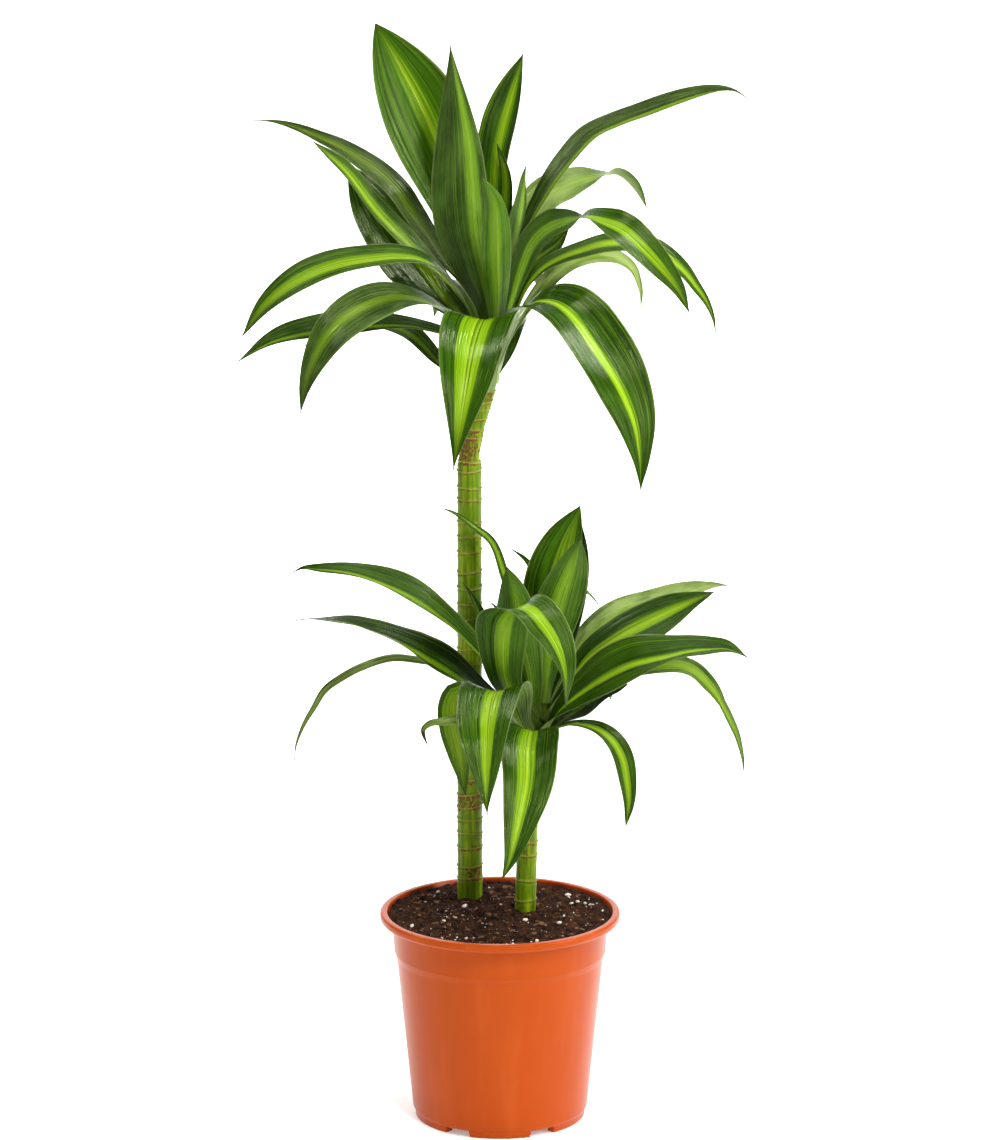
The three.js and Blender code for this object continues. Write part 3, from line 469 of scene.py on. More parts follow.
def soil_height(x, y):
    """The soil's height at a place, from the nearest point of its mesh."""
    nearest = np.argmin((soil_x - x) ** 2 + (soil_y - y) ** 2)
    return float(soil_z[nearest])


def grain_parts(count, sizes, reach, flat, power):
    """Vertices and faces of rough grains half sunk in the soil."""
    ring = 7
    shape = [(0, 0, 1.0)]
    for level, width in ((0.62, 0.78), (0.0, 1.0), (-0.62, 0.78)):
        for j in range(ring):
            turn = 2 * math.pi * (j + 0.5 * (level == 0)) / ring
            shape.append((width * math.cos(turn), width * math.sin(turn), level))
    shape.append((0, 0, -1.0))
    shape = np.array(shape)
    links = []
    for j in range(ring):
        after = (j + 1) % ring
        links.append((0, 1 + j, 1 + after))
        links.append((1 + j, 1 + ring + j, 1 + ring + after, 1 + after))
        links.append((1 + ring + j, 1 + 2 * ring + j, 1 + 2 * ring + after, 1 + ring + after))
        links.append((1 + 2 * ring + j, 1 + 3 * ring, 1 + 2 * ring + after))
    vertices, faces = [], []
    xs, ys = scatter(count, reach)
    for x, y in zip(xs, ys):
        size = sizes[0] + (sizes[1] - sizes[0]) * rng.random() ** power
        stretch = size * np.array((1 + 0.5 * rng.random(), 0.7 + 0.3 * rng.random(), flat))
        spin, lean = 2 * np.pi * rng.random(), 0.6 * rng.random()
        lumpy = 1 + 0.36 * (rng.random(len(shape))[:, None] - 0.5)
        if any(math.hypot(x - cx, y - cy) < r + size for cx, cy, r in CANE_FEET):
            continue
        points = shape * lumpy * stretch
        c, s = math.cos(lean), math.sin(lean)
        tilt = np.array(((1, 0, 0), (0, c, -s), (0, s, c)))
        c, s = math.cos(spin), math.sin(spin)
        turn = np.array(((c, -s, 0), (s, c, 0), (0, 0, 1)))
        points = points @ tilt.T @ turn.T + (x, y, soil_height(x, y) + 0.15 * size)
        faces += [tuple(len(vertices) + k for k in face) for face in links]
        vertices += [tuple(p) for p in points]
    return vertices, faces


def white_perlite():
    """Chalky white with brown stains of peat."""
    material, tree, shader = new_finish("white_perlite", roughness=0.8, specular=0.3)
    spots = cloud(tree, object_place(tree), 500.0, detail=4, roughness=0.7)
    clean = step_up(tree, spots, 0.35, 0.62)
    colour = tint(tree, clean, (0.38, 0.27, 0.18, 1), (0.86, 0.82, 0.74, 1))
    feed(tree, shader.inputs["Base Color"], colour)
    roughen(tree, shader, spots, 0.6, 0.0003)
    return material


def bark_chip():
    material, tree, shader = new_finish("bark_chip", roughness=0.85, specular=0.3)
    share = cloud(tree, object_place(tree), 260.0, detail=5)
    colour = tint(tree, share, (0.03, 0.011, 0.005, 1), (0.20, 0.085, 0.035, 1))
    feed(tree, shader.inputs["Base Color"], colour)
    return material


grains, grain_faces = grain_parts(PERLITE_COUNT, PERLITE_SIZES, GRAIN_REACH, 0.75, 6.0)
perlite = mesh_object("perlite_grains", np.array(grains) * MM, grain_faces)
perlite.data.materials.append(white_perlite())
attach(perlite, "root")

grains, grain_faces = grain_parts(CHIP_COUNT, CHIP_SIZES, GRAIN_REACH, 0.35, 1.6)
chips = mesh_object("bark_chips", np.array(grains) * MM, grain_faces, smooth=False)
chips.data.materials.append(bark_chip())
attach(chips, "root")

# ---------------------------------------------------------------- canes
# Two green canes that have dropped their lower leaves: every fallen leaf has left a thin tan ring. The tall
# one was once cut, and its shoot grows on from a brown, ragged scar. Rolled young leaves end both shoots.
TALL_AXIS = [
    (-21.5, 42, 60), (-21.5, 42, 470), (-18, 42, 490), (-10, 42, 516), (-6, 40, 550), (-4, 40, 600),
    (-4, 40, 640),
]
SHORT_AXIS = [
    (16, 10, 60), (18, 10, 150), (20, 11, 230), (24, 12, 275), (32, 13, 315), (40, 14, 355), (43, 14, 372),
]
TALL_RADII = [(60, 9), (300, 8.8), (464, 8.5), (468, 7.2), (520, 6.8), (550, 6.2), (590, 4), (640, 1)]
SHORT_RADII = [(60, 7.6), (230, 7.2), (275, 6.6), (315, 4.5), (350, 2.5), (372, 1)]
TALL_RINGS = [
    162.8, 171.7, 185.1, 196.2, 206.6, 215.5, 224.3, 236, 248.5, 260, 272, 285, 297.5, 309, 321, 332, 344,
    353, 363.5, 375.8, 387.4, 401.9, 412.8, 422.9, 439.5, 448.1, 460.3, 467.0,
    484.4, 489.4, 496.6, 503.7, 510, 517, 524,
]
SHORT_RINGS = [155.2, 169.9, 188.3, 199, 210, 220.5, 230, 239]
# Brown corky places as (height, half height, azimuth, half width in degrees, strength).
TALL_SCARS = [
    (220, 5.5, 270, 400, 0.95), (233, 9, 270, 60, 0.35), (167, 6, 300, 48, 1.0), (186, 2.5, 310, 70, 0.5),
    (474, 9, 235, 95, 1.1), (486, 5, 250, 60, 0.8), (513, 3, 300, 50, 0.7), (424, 2, 310, 40, 0.5),
]
SHORT_SCARS = [(199, 4, 250, 80, 0.5), (156, 2, 200, 60, 0.4)]
# The tall cane's old cut, where its bark is roughest, between these heights.
CUT_BETWEEN = (466, 492)
# Below this height a cane is hidden in the soil and plain.
FINE_FROM = 136.0
CANE_SIDES = 56
CANE_STEP = 0.8
ANY_ANGLE = (0, 6.28)


def between(pairs, at):
    """The value at one place in a list of (place, value) pairs, straight in between."""
    return float(np.interp(at, [p[0] for p in pairs], [p[1] for p in pairs]))


def axis_point(axis, height):
    heights = [p[2] for p in axis]
    x, y = (np.interp(height, heights, [p[k] for p in axis]) for k in (0, 1))
    return np.array([x, y, height])


def cane_parts(axis, radii, rings, scars, seed):
    """Vertices, faces and the (ring, brown, youth) paint of one cane."""
    draw = np.random.default_rng(seed)
    ranges = (ANY_ANGLE, (0.2, 1.1), ANY_ANGLE, (0.1, 0.55))
    waves = [[draw.uniform(*limits) for limits in ranges] for _ in rings]
    low, high = axis[0][2], axis[-1][2]
    heights = [low] + list(np.arange(FINE_FROM, high - 0.5, CANE_STEP)) + [high]
    vertices, paint = [], []
    for height in heights:
        centre = axis_point(axis, height)
        radius = between(radii, height)
        for j in range(CANE_SIDES):
            turn = 2 * math.pi * j / CANE_SIDES
            ring, groove, step = 0.0, 0.0, 0.0
            for place, (lean, tilt, knot, kink) in zip(rings, waves):
                if abs(height - place) > 6:
                    continue
                away = height - place - tilt * math.cos(turn - lean) - kink * math.sin(2 * turn + knot)
                ring = max(ring, math.exp(-((away / 0.55) ** 2)))
                groove = max(groove, math.exp(-(((away + 1.3) / 0.9) ** 2)))
                step = max(step, math.exp(-(((away + 2.2) / 2.6) ** 2)))
            brown = 0.0
            for at, tall, azimuth, wide, strength in scars:
                aside = (math.degrees(turn) - azimuth + 180) % 360 - 180
                near = ((height - at) / tall) ** 2 + (aside / wide) ** 2
                if near < 4:
                    brown = max(brown, strength * math.exp(-(near**2)))
            ragged = noise.noise(Vector((6 * math.cos(turn), 6 * math.sin(turn), height * 0.5)))
            flaky = noise.noise(Vector((14 * math.cos(turn), 14 * math.sin(turn), height * 1.4)))
            out = radius + 0.8 * ring - 0.3 * groove + 0.25 * step
            torn = 1.6 if CUT_BETWEEN[0] < height < CUT_BETWEEN[1] else 0.7
            out += brown * (0.35 * ragged + 0.45 * flaky) * torn
            vertices.append(centre + (out * math.cos(turn), out * math.sin(turn), 0))
            youth = min(1.0, max(0.0, (height - high + 90) / 60))
            cork = brown * (0.5 + 1.8 * ragged + 1.1 * flaky) + 0.8 * groove * (0.55 + ragged)
            paint.append((ring, min(1.0, cork), youth))
    faces = []
    for i in range(len(heights) - 1):
        for j in range(CANE_SIDES):
            after = (j + 1) % CANE_SIDES
            a, b = i * CANE_SIDES, (i + 1) * CANE_SIDES
            faces.append((a + j, a + after, b + after, b + j))
    faces.append(tuple(reversed(range(CANE_SIDES))))
    last = (len(heights) - 1) * CANE_SIDES
    faces.append(tuple(last + j for j in range(CANE_SIDES)))
    return vertices, faces, paint


def paint_points(piece, name, values):
    """Stores three numbers per vertex for the piece's material."""
    layer = piece.data.attributes.new(name, "FLOAT_VECTOR", "POINT")
    layer.data.foreach_set("vector", np.asarray(values, dtype=np.float32).ravel())


def painted(tree, name):
    """The three numbers that paint_points stored under this name."""
    return split(tree, shade(tree, "Attribute", {}, attribute_name=name).outputs["Vector"])


def green_cane_bark():
    """Streaked green bark, paler where it is young, with tan rings and brown cork."""
    material, tree, shader = new_finish("green_cane_bark", specular=0.25, glint=(0.9, 1, 0.4))
    place = object_place(tree)
    ring, cork, youth = painted(tree, "bark")
    stretched = shade(tree, "Mapping", {"Vector": place, "Scale": (330, 330, 18)}).outputs[0]
    streaks = cloud(tree, stretched, 1.0, detail=4, roughness=0.6)
    blotches = cloud(tree, place, 90.0, detail=4)
    speckle = cloud(tree, place, 900.0, detail=3, roughness=0.7)
    streak_share = step_up(tree, streaks, 0.28, 0.72)
    colour = tint(tree, streak_share, (0.032, 0.066, 0.001, 1), (0.22, 0.31, 0.003, 1))
    colour = tint(tree, step_up(tree, blotches, 0.40, 0.66, 0.7), colour, (0.075, 0.16, 0.001, 1))
    colour = tint(tree, youth, colour, (0.24, 0.42, 0.04, 1))
    cork_colour = tint(tree, speckle, (0.035, 0.009, 0.003, 1), (0.22, 0.09, 0.03, 1))
    colour = tint(tree, step_up(tree, cork, 0.25, 0.6), colour, cork_colour)
    ring_colour = tint(tree, blotches, (0.17, 0.085, 0.02, 1), (0.44, 0.36, 0.11, 1))
    colour = tint(tree, step_up(tree, ring, 0.35, 0.85, 0.9), colour, ring_colour)
    feed(tree, shader.inputs["Base Color"], colour)
    roughen(tree, shader, calculate(tree, "MULTIPLY_ADD", speckle, 0.5, streaks), 0.3, 0.0004)
    dull = calculate(tree, "ADD", step_up(tree, cork, 0.1, 0.7, 0.4), 0.42)
    feed(tree, shader.inputs["Roughness"], dull)
    return material


bark = green_cane_bark()
for cane_name, node, axis, radii, rings, scars, seed in (
    ("tall_ringed_cane", "tall_cane", TALL_AXIS, TALL_RADII, TALL_RINGS, TALL_SCARS, 3),
    ("short_ringed_cane", "short_cane", SHORT_AXIS, SHORT_RADII, SHORT_RINGS, SHORT_SCARS, 4),
):
    cane_vertices, cane_faces, cane_paint = cane_parts(axis, radii, rings, scars, seed)
    cane = mesh_object(cane_name, np.array(cane_vertices) * MM, cane_faces)
    paint_points(cane, "bark", cane_paint)
    cane.data.materials.append(bark)
    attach(cane, "root")
    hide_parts(node)

# ---------------------------------------------------------------- leaves
# Long strap leaves that clasp the shoot, rise and arch over. Each blade is one thin body with a channel
# along its midrib, rippled margins and a dry tip. It is glossy and dark green with yellow-green stripes
# above, and paler and duller below. The tables give each leaf about the heart of its head.
UPPER_HEAD = dict(heart=(-6, 40, 550), axis=TALL_AXIS, radii=TALL_RADII)
LOWER_HEAD = dict(heart=(24, 12, 275), axis=SHORT_AXIS, radii=SHORT_RADII)
EYE_DISTANCE = 4000
EYE_HEIGHT = 1373
BASE_FOLD = 30
BASE_FOLD_LENGTH = 0.35
BASE_WIDTH_SHARE = 0.31
BASE_WIDTH_LIMIT = 11.5
TIP_WIDTH = 0.7
SEAT_CLEARANCE = 0.55
BLADE_ROWS = 72
HALF_COLUMNS = (0.04, 0.12, 0.25, 0.4, 0.55, 0.7, 0.84, 0.95, 1)
BLADE_COLUMNS = (*(-t for t in reversed(HALF_COLUMNS)), 0, *HALF_COLUMNS)
MIDRIB_THICKNESS = 0.8
MARGIN_THICKNESS = 0.3
CLASP_LENGTH = 0.1
CLASP_ANGLE = 78
RIPPLE_SHARE = 0.045
RIPPLE_LIMIT = 2.0
# On the upper skin the pale colour is a painted sheen, a painted reflection; on the under skin it is the paler
# underside.
UPPER_COLOURS = dict(
    dark=(0.005, 0.014, 0.001, 1), deep=(0.010, 0.036, 0.001, 1), fresh=(0.042, 0.125, 0.001, 1),
    stripe=(0.175, 0.33, 0.003, 1), core=(0.34, 0.47, 0.02, 1), pale=(0.34, 0.44, 0.13, 1),
)
UNDER_COLOURS = dict(
    dark=(0.008, 0.026, 0.001, 1), deep=(0.014, 0.048, 0.001, 1), fresh=(0.052, 0.15, 0.001, 1),
    stripe=(0.155, 0.30, 0.006, 1), core=(0.22, 0.36, 0.02, 1), pale=(0.25, 0.34, 0.10, 1),
)
MARGIN_COLOUR = (0.24, 0.30, 0.10, 1)
BASE_COLOUR = (0.18, 0.27, 0.05, 1)
DRY_TIP_COLOUR = (0.055, 0.03, 0.018, 1)


# A leaf's sheen is painted: pale colour on its top side that stands in for reflected light.
def strap(
    width, seat, tone, stripe, path, face=None, fold=16, widest=0.58, taper=0.95, roll=(0, 0),
    under=0.5, sheen=0.0, dry=1.0,
):
    """A leaf: its width, its seat as (angle, height) on the shoot, how fresh its green is, its stripe as
    (centre, spread, brightness), the path of its midrib, and what is unusual about it."""
    face = seat[0] if face is None else face
    return locals()


UPPER_LEAVES = dict(
    front_hanging=strap(53, (266, -32), 0.45, (0.05, 0.42, 1), [(0, -25, 2), (-5, -60, 18), (-12, -95, 0),
        (-19, -122, -40), (-27, -138, -91)], widest=0.45, taper=1.38, under=0.4),
    right_front_large=strap(50, (316, -27), 0.3, (0.02, 0.16, 1), [(8, -15, 3), (15, -25, 14),
        (22, -33, 25), (31, -43, 30.5), (41, -52, 30.5), (50, -60, 26.5), (60, -67, 17), (70, -75, 3),
        (87.5, -89, -25), (99.5, -98, -53), (104, -103, -80), (105, -108, -104.5)], widest=0.57, taper=1.15,
        roll=(0, -15, -20), under=0.4),
    left_hanging=strap(34, (212, -14), 0.15, (0.15, 0.3, 0.3), [(-16, -8, 8), (-35, -22, 25.5),
        (-60, -38, 32), (-80, -52, 28.5), (-98, -64, 19), (-112, -72, 6), (-122, -76, -10),
        (-130, -79, -30), (-134, -80, -50)], taper=1.3, roll=(0, 25, 35), under=0.4, sheen=0.3),
    left_long=strap(24, (182, -25), 0.25, (-0.35, 0.25, 0.5), [(-20, -4, 0), (-50, -10, 13), (-85, -22, 15),
        (-130, -52, 10), (-158, -76, 1), (-180, -95, -14)], taper=1.5, roll=(0, 20, 20), under=0.4),
    back_left_low=strap(24, (154, -42), 0.3, (0, 0.3, 0.4), [(-19, 8, -30), (-37, 20, -13), (-57, 32, 7),
        (-85, 48, 16), (-110, 58, 11), (-131, 66, -1)], roll=(0, 20, 20), sheen=0.2),
    left_folded_arch=strap(27, (211, -5), 0.4, (0, 0.4, 0.85), [(-12, -10, 16), (-22, -19, 37),
        (-45, -29, 58.5), (-62, -37, 62), (-80, -43, 61), (-110, -52, 56), (-135, -60, 45.5),
        (-158, -66, 28), (-174, -70, 6)], roll=(0, 12, 25, 45, 50), sheen=0.15),
    back_left_broad=strap(46, (146, -4), 0.3, (0.3, 0.25, 0.5), [(-16, 14, 12), (-37, 36, 32),
        (-70, 54, 76), (-100, 68, 128)], roll=(0, 35, 40), under=0.2),
    left_striped=strap(22, (178, 7), 0.45, (0, 0.45, 0.9), [(-16, 0, 26), (-32, 2, 46), (-50, 6, 64),
        (-62, 8, 76), (-80, 8, 95), (-100, 6, 122), (-124, 2, 144)], roll=(0, 30, 30), under=0.6,
        sheen=0.25),
    left_high_arch=strap(21, (150, 14), 0.15, (0.1, 0.3, 0.35), [(-14, 12, 34), (-32, 22, 58),
        (-45, 28, 77), (-56, 31, 93.5), (-65.5, 33, 108.5), (-77, 36, 120.5), (-91, 37, 131),
        (-105, 38, 139.5), (-119, 38, 146), (-133, 38, 152.5), (-149, 38, 157.5), (-166, 38, 158.5)],
        widest=0.45, taper=1.5, roll=(0, 25, 30), under=0.6, sheen=0.35),
    back_left_upright=strap(60, (102, 20), 0.62, (0.12, 0.2, 0.6), [(-11, 21, 50), (-18, 28, 78),
        (-36, 38, 130), (-50, 41.5, 164), (-64, 44.5, 193), (-80, 48, 226)], face=100, widest=0.66,
        taper=0.95, under=0.2),
    back_right_upright=strap(25, (80, 26), 0.3, (0.3, 0.34, 0.85), [(3, 13, 50), (1, 14, 90), (0, 15, 130),
        (5, 16, 157), (12, 17, 179), (22, 20, 205)], face=90, widest=0.7, taper=1.1, under=0.2),
    centre_upright=strap(43, (262, 6), 0.05, (-0.5, 0.24, 0.6), [(-6, -11, 30), (-20, -12, 80),
        (-24, -10, 150), (-28.5, -8, 213)], face=270, fold=22, widest=0.45, taper=1.4, under=0.1,
        sheen=0.1),
    inner_front=strap(22, (286, -4), 0.75, (0.1, 0.4, 0.6), [(4, -17, 25), (4, -24, 60), (2, -29, 100),
        (-7, -33, 119)], face=281, under=0.1),
    right_short_upright=strap(22, (340, 22), 0.6, (0, 0.4, 0.9), [(11, -4, 50), (20, -4, 90),
        (24, -4, 127)], face=330, under=0.1),
    thin_upright=strap(12, (50, 34), 0.5, (0, 0.5, 0.6), [(7, 7, 55), (9, 7, 90), (10, 7, 120),
        (4, 7, 142)], face=70, under=0.2),
    right_pointed=strap(16, (38, 8), 0, (0, 0.2, 0.3), [(15, 10, 34), (30, 22, 59), (45, 29, 71),
        (54, 34, 83)], roll=(0, -40, -40), under=0.2),
    right_long_thin=strap(22, (22, 15), 0.15, (0.6, 0.35, 0.5), [(12.5, 7, 49.5), (23.5, 13, 82.5),
        (41, 23, 114.5), (54, 31, 132), (68.5, 38, 148), (86, 45, 157), (104.5, 52, 164), (123, 60, 171),
        (142, 68, 177), (157.5, 74, 180), (168, 78, 179), (178, 82, 173.5)], roll=(0, -20, -25), under=0.6,
        sheen=0.25),
    right_back_arch=strap(26, (72, -2), 0.55, (0, 0.4, 0.5), [(8, 23, 45), (22, 44, 86), (36, 54, 105),
        (50, 62, 112), (64, 69, 117), (78, 75, 120), (87, 78, 121), (96, 80, 116), (102, 81, 109),
        (108, 82, 97)], roll=(0, -5, -10, -14, -18, -20, -22, -18, 5, 55, 75, 75), under=0.8, sheen=0.8),
    right_twisted=strap(29, (342, 0), 0.4, (0, 0.35, 0.9), [(12, -7, 22), (20, -8, 50), (29, -10, 72),
        (39, -14, 82), (50, -19, 87), (62, -24, 90.5), (78, -28, 87), (92, -32, 81), (106, -36, 68.5),
        (119, -39, 54), (130, -41, 39.5), (138, -42, 23)],
        roll=(0, 25, 40, 50, 55, 52, 5, -30, -45, -50, -50, -50), under=0.05, sheen=0.1),
    right_low_arch=strap(21, (8, -10), 0.35, (-0.1, 0.35, 0.8), [(14.5, 1, 12), (19, 1, 27), (26.5, 2, 43),
        (37, 4, 54.5), (49.5, 6, 61.5), (63.5, 9, 66.5), (77.5, 11, 70.5), (91, 13, 71.5),
        (104.5, 14, 69.5), (115.5, 15, 65.5), (125.5, 15.5, 59), (134.5, 16, 51), (142, 17, 41.5),
        (149.5, 18, 31), (154.5, 19, 19), (157, 19, 5)], taper=1.2, roll=(0, -25, -38, -38), under=0.6,
        sheen=0.15),
    right_back_thin=strap(16, (36, -20), 0.55, (0, 0.5, 0.5), [(12, 12, 2), (28, 26, 30), (50, 44, 54),
        (64, 53, 61), (77, 60, 63), (88, 65, 61.5), (98, 69, 54), (102, 71, 44), (104, 73, 35),
        (104, 74, 25)], roll=(0, -30, -60), under=0.9, sheen=0.9),
    rear_drooping=strap(36, (84, -31), 0.4, (0.1, 0.25, 0.8), [(5, 22, -10), (8, 44, 12), (8, 62, 16),
        (6, 75, 6), (2, 80, -12)]),
    rear_left=strap(30, (112, -18), 0.35, (-0.1, 0.3, 0.8), [(-4, 22, 8), (-11, 45, 36), (-21, 64, 46),
        (-32, 76, 40), (-40, 81, 20)]),
    rear_right=strap(34, (76, -12), 0.4, (0, 0.3, 0.9), [(6, 18, 18), (15, 38, 50), (23, 58, 62),
        (28, 71, 58), (32, 78, 42)]),
)

LOWER_LEAVES = dict(
    front_hanging=strap(41.5, (268, -20), 0.4, (0.1, 0.3, 0.95), [(-2, -22, -2), (-1, -46, 3),
        (-3, -72, -10), (-4, -94, -35), (-9, -111, -62), (-16, -125, -90), (-23, -134, -107)], widest=0.42,
        taper=1.15, under=0.4, sheen=0.15),
    front_left_hanging=strap(48, (244, -2), 0.45, (-0.02, 0.3, 1), [(-10, -16, 8), (-19, -34, 24),
        (-28, -54, 32), (-33, -76, 14), (-34, -92, -10), (-34, -102, -35), (-33, -108, -59)], face=252,
        widest=0.42, taper=1.3, under=0.4, sheen=0.1),
    left_striped_hanging=strap(22, (200, -18), 0.5, (0, 0.7, 0.5), [(-17, -13, 1), (-34, -22.5, 14.5),
        (-46, -29, 25), (-53, -32, 28.5), (-57, -33, 20), (-56.5, -34, 6.5), (-53, -33, -11),
        (-50.5, -31.5, -27.5), (-48.5, -30.5, -43.5)], face=204, roll=(0, 30, 55, 60), sheen=0.1),
    left_dry_tip=strap(9, (240, -9), 0.6, (0, 0.5, 0.4), [(-10, -22, 6), (-28, -42, 12), (-50, -54, 11),
        (-66, -60, 9.5), (-73, -62, 8.5), (-78, -64, 4), (-75, -65, -8)], roll=(0, 30, 60), under=0.6,
        sheen=0.9, dry=6),
    front_arch=strap(40, (262, 4), 0.45, (0, 0.32, 0.95), [(-8, -14, 18), (-20, -26, 38), (-23, -36, 62),
        (-20, -46, 83), (-13, -56, 92), (-3, -63, 91), (7, -68, 80), (16, -71, 65), (21.5, -73, 47),
        (22.5, -74, 20)], widest=0.5, taper=1.1, roll=(0, 0, 0, 0, -5, -25, -50, -65, -62, -55, -50),
        under=0, sheen=0.15),
    front_upright=strap(34, (252, 12), 0.7, (-0.15, 0.3, 0.4), [(-4, -14, 40), (-12, -19, 70),
        (-15, -21, 100), (-19, -21, 122)], face=256, under=0.1),
    right_low=strap(17, (338, -20), 0.35, (0, 0.35, 0.9), [(12, -6, 2), (22, -9, 7), (30, -13, 8),
        (45, -18, 4), (55, -22, -4), (62, -25, -16), (66, -28, -35), (67, -30, -50), (65, -31, -67)],
        roll=(0, -10, -40, -60), under=0.6, sheen=0.15),
    right_large=strap(43, (313, -5), 0.4, (0.05, 0.17, 0.9), [(12, -10, 10), (23, -17, 23),
        (33.5, -21, 31.5), (44, -25, 39), (55, -29, 45.5), (68, -33, 51.5), (81, -36, 55), (95, -39, 58),
        (108, -42, 61), (122, -45, 62.5), (136, -48, 62.5), (150, -50, 56.7)],
        roll=(0, -40, -75, -75, -62, -52, -42, -34, -30), under=0.3),
    right_under=strap(26, (18, -8), 0.15, (0, 0.2, 0.4), [(13, 6, 4), (30, 8, 18), (50, 7, 31),
        (66, 4, 37)], roll=(0, -20, -20), under=0.3),
    right_striped=strap(42, (351, 9), 0.25, (-0.15, 0.25, 0.9), [(18, 2, 27), (36, 0, 51.5), (62, 0, 69.5),
        (85, 0, 81.5), (105, -1, 92.5), (126, -2, 104)], roll=(0, -25, -40, -38), under=0.3, sheen=0.1),
    right_high=strap(26, (39, 6), 0.45, (0, 0.4, 0.6), [(14, 9, 23), (24, 16, 46), (38, 23, 70),
        (60, 29, 87), (85, 35, 96), (110, 39, 105), (127, 42, 109), (138, 43, 108.5)], taper=1.3,
        roll=(0, -15, -15), sheen=0.9),
    right_back_hanging=strap(13, (40, -15), 0.55, (0, 0.5, 0.7), [(12, 10, 4), (28, 21, 26), (50, 30, 43),
        (72, 35, 48), (90, 38, 51), (104, 42, 51), (112.5, 44, 47.5), (119.5, 46, 41), (126.5, 47, 32),
        (132, 48, 22), (138.5, 49, 9.5), (143, 50, -0.5), (146, 50, -11.5), (147.5, 50, -20),
        (147.5, 50, -30)], roll=(0, -10, -15, -20, -30, -40, -48, -54, -55, -20, -30, -38, -40), under=0.9,
        sheen=0.45),
    back_right_thin=strap(10, (63, -3), 0.6, (0, 0.5, 0.5), [(18, 28, 50), (26, 40, 85), (34, 47, 104),
        (42, 51, 99), (50, 54, 86)], sheen=0.1),
    left_high_arch=strap(30, (189, 6), 0.5, (-0.4, 0.35, 0.8), [(-12, -1, 26), (-22, -2, 42), (-40, -4, 62),
        (-60, -6, 83), (-80, -8, 99), (-104, -11, 111), (-130, -14, 119), (-152, -16, 121),
        (-163, -17, 121), (-172, -18, 116)], taper=1.5, roll=(0, 25, 25, 25), sheen=0.1),
    left_arch=strap(38, (197, 2), 0.1, (-0.35, 0.32, 0.8), [(-13, -2.5, 9), (-22, -2, 19.5),
        (-30, -3, 26.5), (-40.5, -4, 34), (-51, -6, 42), (-62, -9, 50), (-72, -13, 56), (-83, -16, 62.5),
        (-104, -22, 72.5), (-115, -24, 76.5), (-129, -26, 81.5), (-150, -28, 84.5), (-164, -30, 84),
        (-174, -32, 81.4)], widest=0.38, taper=1.35, roll=(0, 25, 30, 10, 0)),
    left_drooping=strap(6.5, (168, -14), 0.35, (0, 0.4, 0.3), [(-14, 3, 5), (-34, 6, 27), (-58, 10, 48),
        (-80, 16, 54), (-100, 20, 56), (-120, 22, 50), (-135, 24, 42), (-147, 25, 33), (-155, 26, 20),
        (-162, 26, 8), (-168, 26, -8), (-169, 26, -19)], roll=(0, 30, 60, 70), under=0.8, sheen=0.9),
    left_thin=strap(12, (166, 28), 0.4, (0.3, 0.3, 0.6), [(-8, 0, 55), (-12, -1, 84), (-22, 6, 116),
        (-31, 11, 140), (-42, 11, 150), (-55, 11, 160), (-66, 11, 165)], face=150, sheen=0.1),
    left_small=strap(15, (170, 16), 0.2, (0, 0.3, 0.3), [(-12, 7, 40), (-24, 11, 62), (-36, 13, 82),
        (-43, 13, 98), (-50, 13, 111)], face=150, under=0.2),
    back_left_small=strap(9, (148, 14), 0.4, (0, 0.4, 0.4), [(-6, 18, 50), (-16, 24, 74), (-25, 27, 90),
        (-32, 29, 98)], under=0.3),
    back_thin=strap(7, (126, 18), 0.2, (0, 0.3, 0.3), [(4, 22, 60), (5, 28, 100), (-4, 33, 125),
        (-17, 37, 136)], face=90, sheen=0.2),
    back_upright=strap(41, (92, 26), 0.85, (0.2, 0.33, 0.8), [(6, 9, 60), (12, 12, 110), (20, 14, 140),
        (32, 16, 166)], face=90, under=0.2, sheen=0.05),
    right_upright=strap(36, (290, 24), 0.5, (0.1, 0.35, 0.6), [(10, -7, 55), (19, -8, 95), (28, -8, 125),
        (32, -8, 143)], face=282, under=0.1),
    back_right_upright=strap(30, (74, 15), 0.35, (0, 0.3, 0.5), [(14, 17, 50), (23, 23, 100), (28, 26, 130),
        (31, 27, 160)], face=80, under=0.3),
    rear=strap(40, (96, -29), 0.4, (0, 0.28, 0.9), [(1, 17, -10), (1, 40, 18), (0, 66, 26), (-1, 90, 15),
        (-2, 106, -3)], face=96),
    rear_left=strap(28, (120, -8), 0.35, (0.1, 0.3, 0.8), [(-6, 18, 14), (-14, 40, 46), (-20, 66, 56),
        (-24, 88, 50), (-26, 102, 34)]),
    rear_right=strap(32, (85, -12), 0.4, (-0.1, 0.3, 0.8), [(6, 19, 6), (20, 42, 34), (34, 64, 46),
        (46, 82, 42), (54, 94, 26)]),
)


def leaf_point(head, point):
    """A table point, given as it looks from the front, in its true place."""
    heart_x, heart_y, heart_z = head["heart"]
    across, depth, height = point
    stretch = 1 + depth / (EYE_DISTANCE + heart_y)
    z = EYE_HEIGHT + (heart_z + height - EYE_HEIGHT) * stretch
    return np.array([(heart_x + across) * stretch, heart_y + depth, z])


def smooth_share(share):
    s = min(1.0, max(0.0, share))
    return s * s * (3 - 2 * s)


def half_width(leaf, share):
    width, widest = leaf["width"], leaf["widest"]
    base = min(BASE_WIDTH_SHARE * width, BASE_WIDTH_LIMIT)
    rising = base + (width - base) * smooth_share(share / widest)
    s = max(0.0, (share - widest) / (1 - widest))
    return max(TIP_WIDTH, rising * (1 - s * s) ** leaf["taper"]) / 2


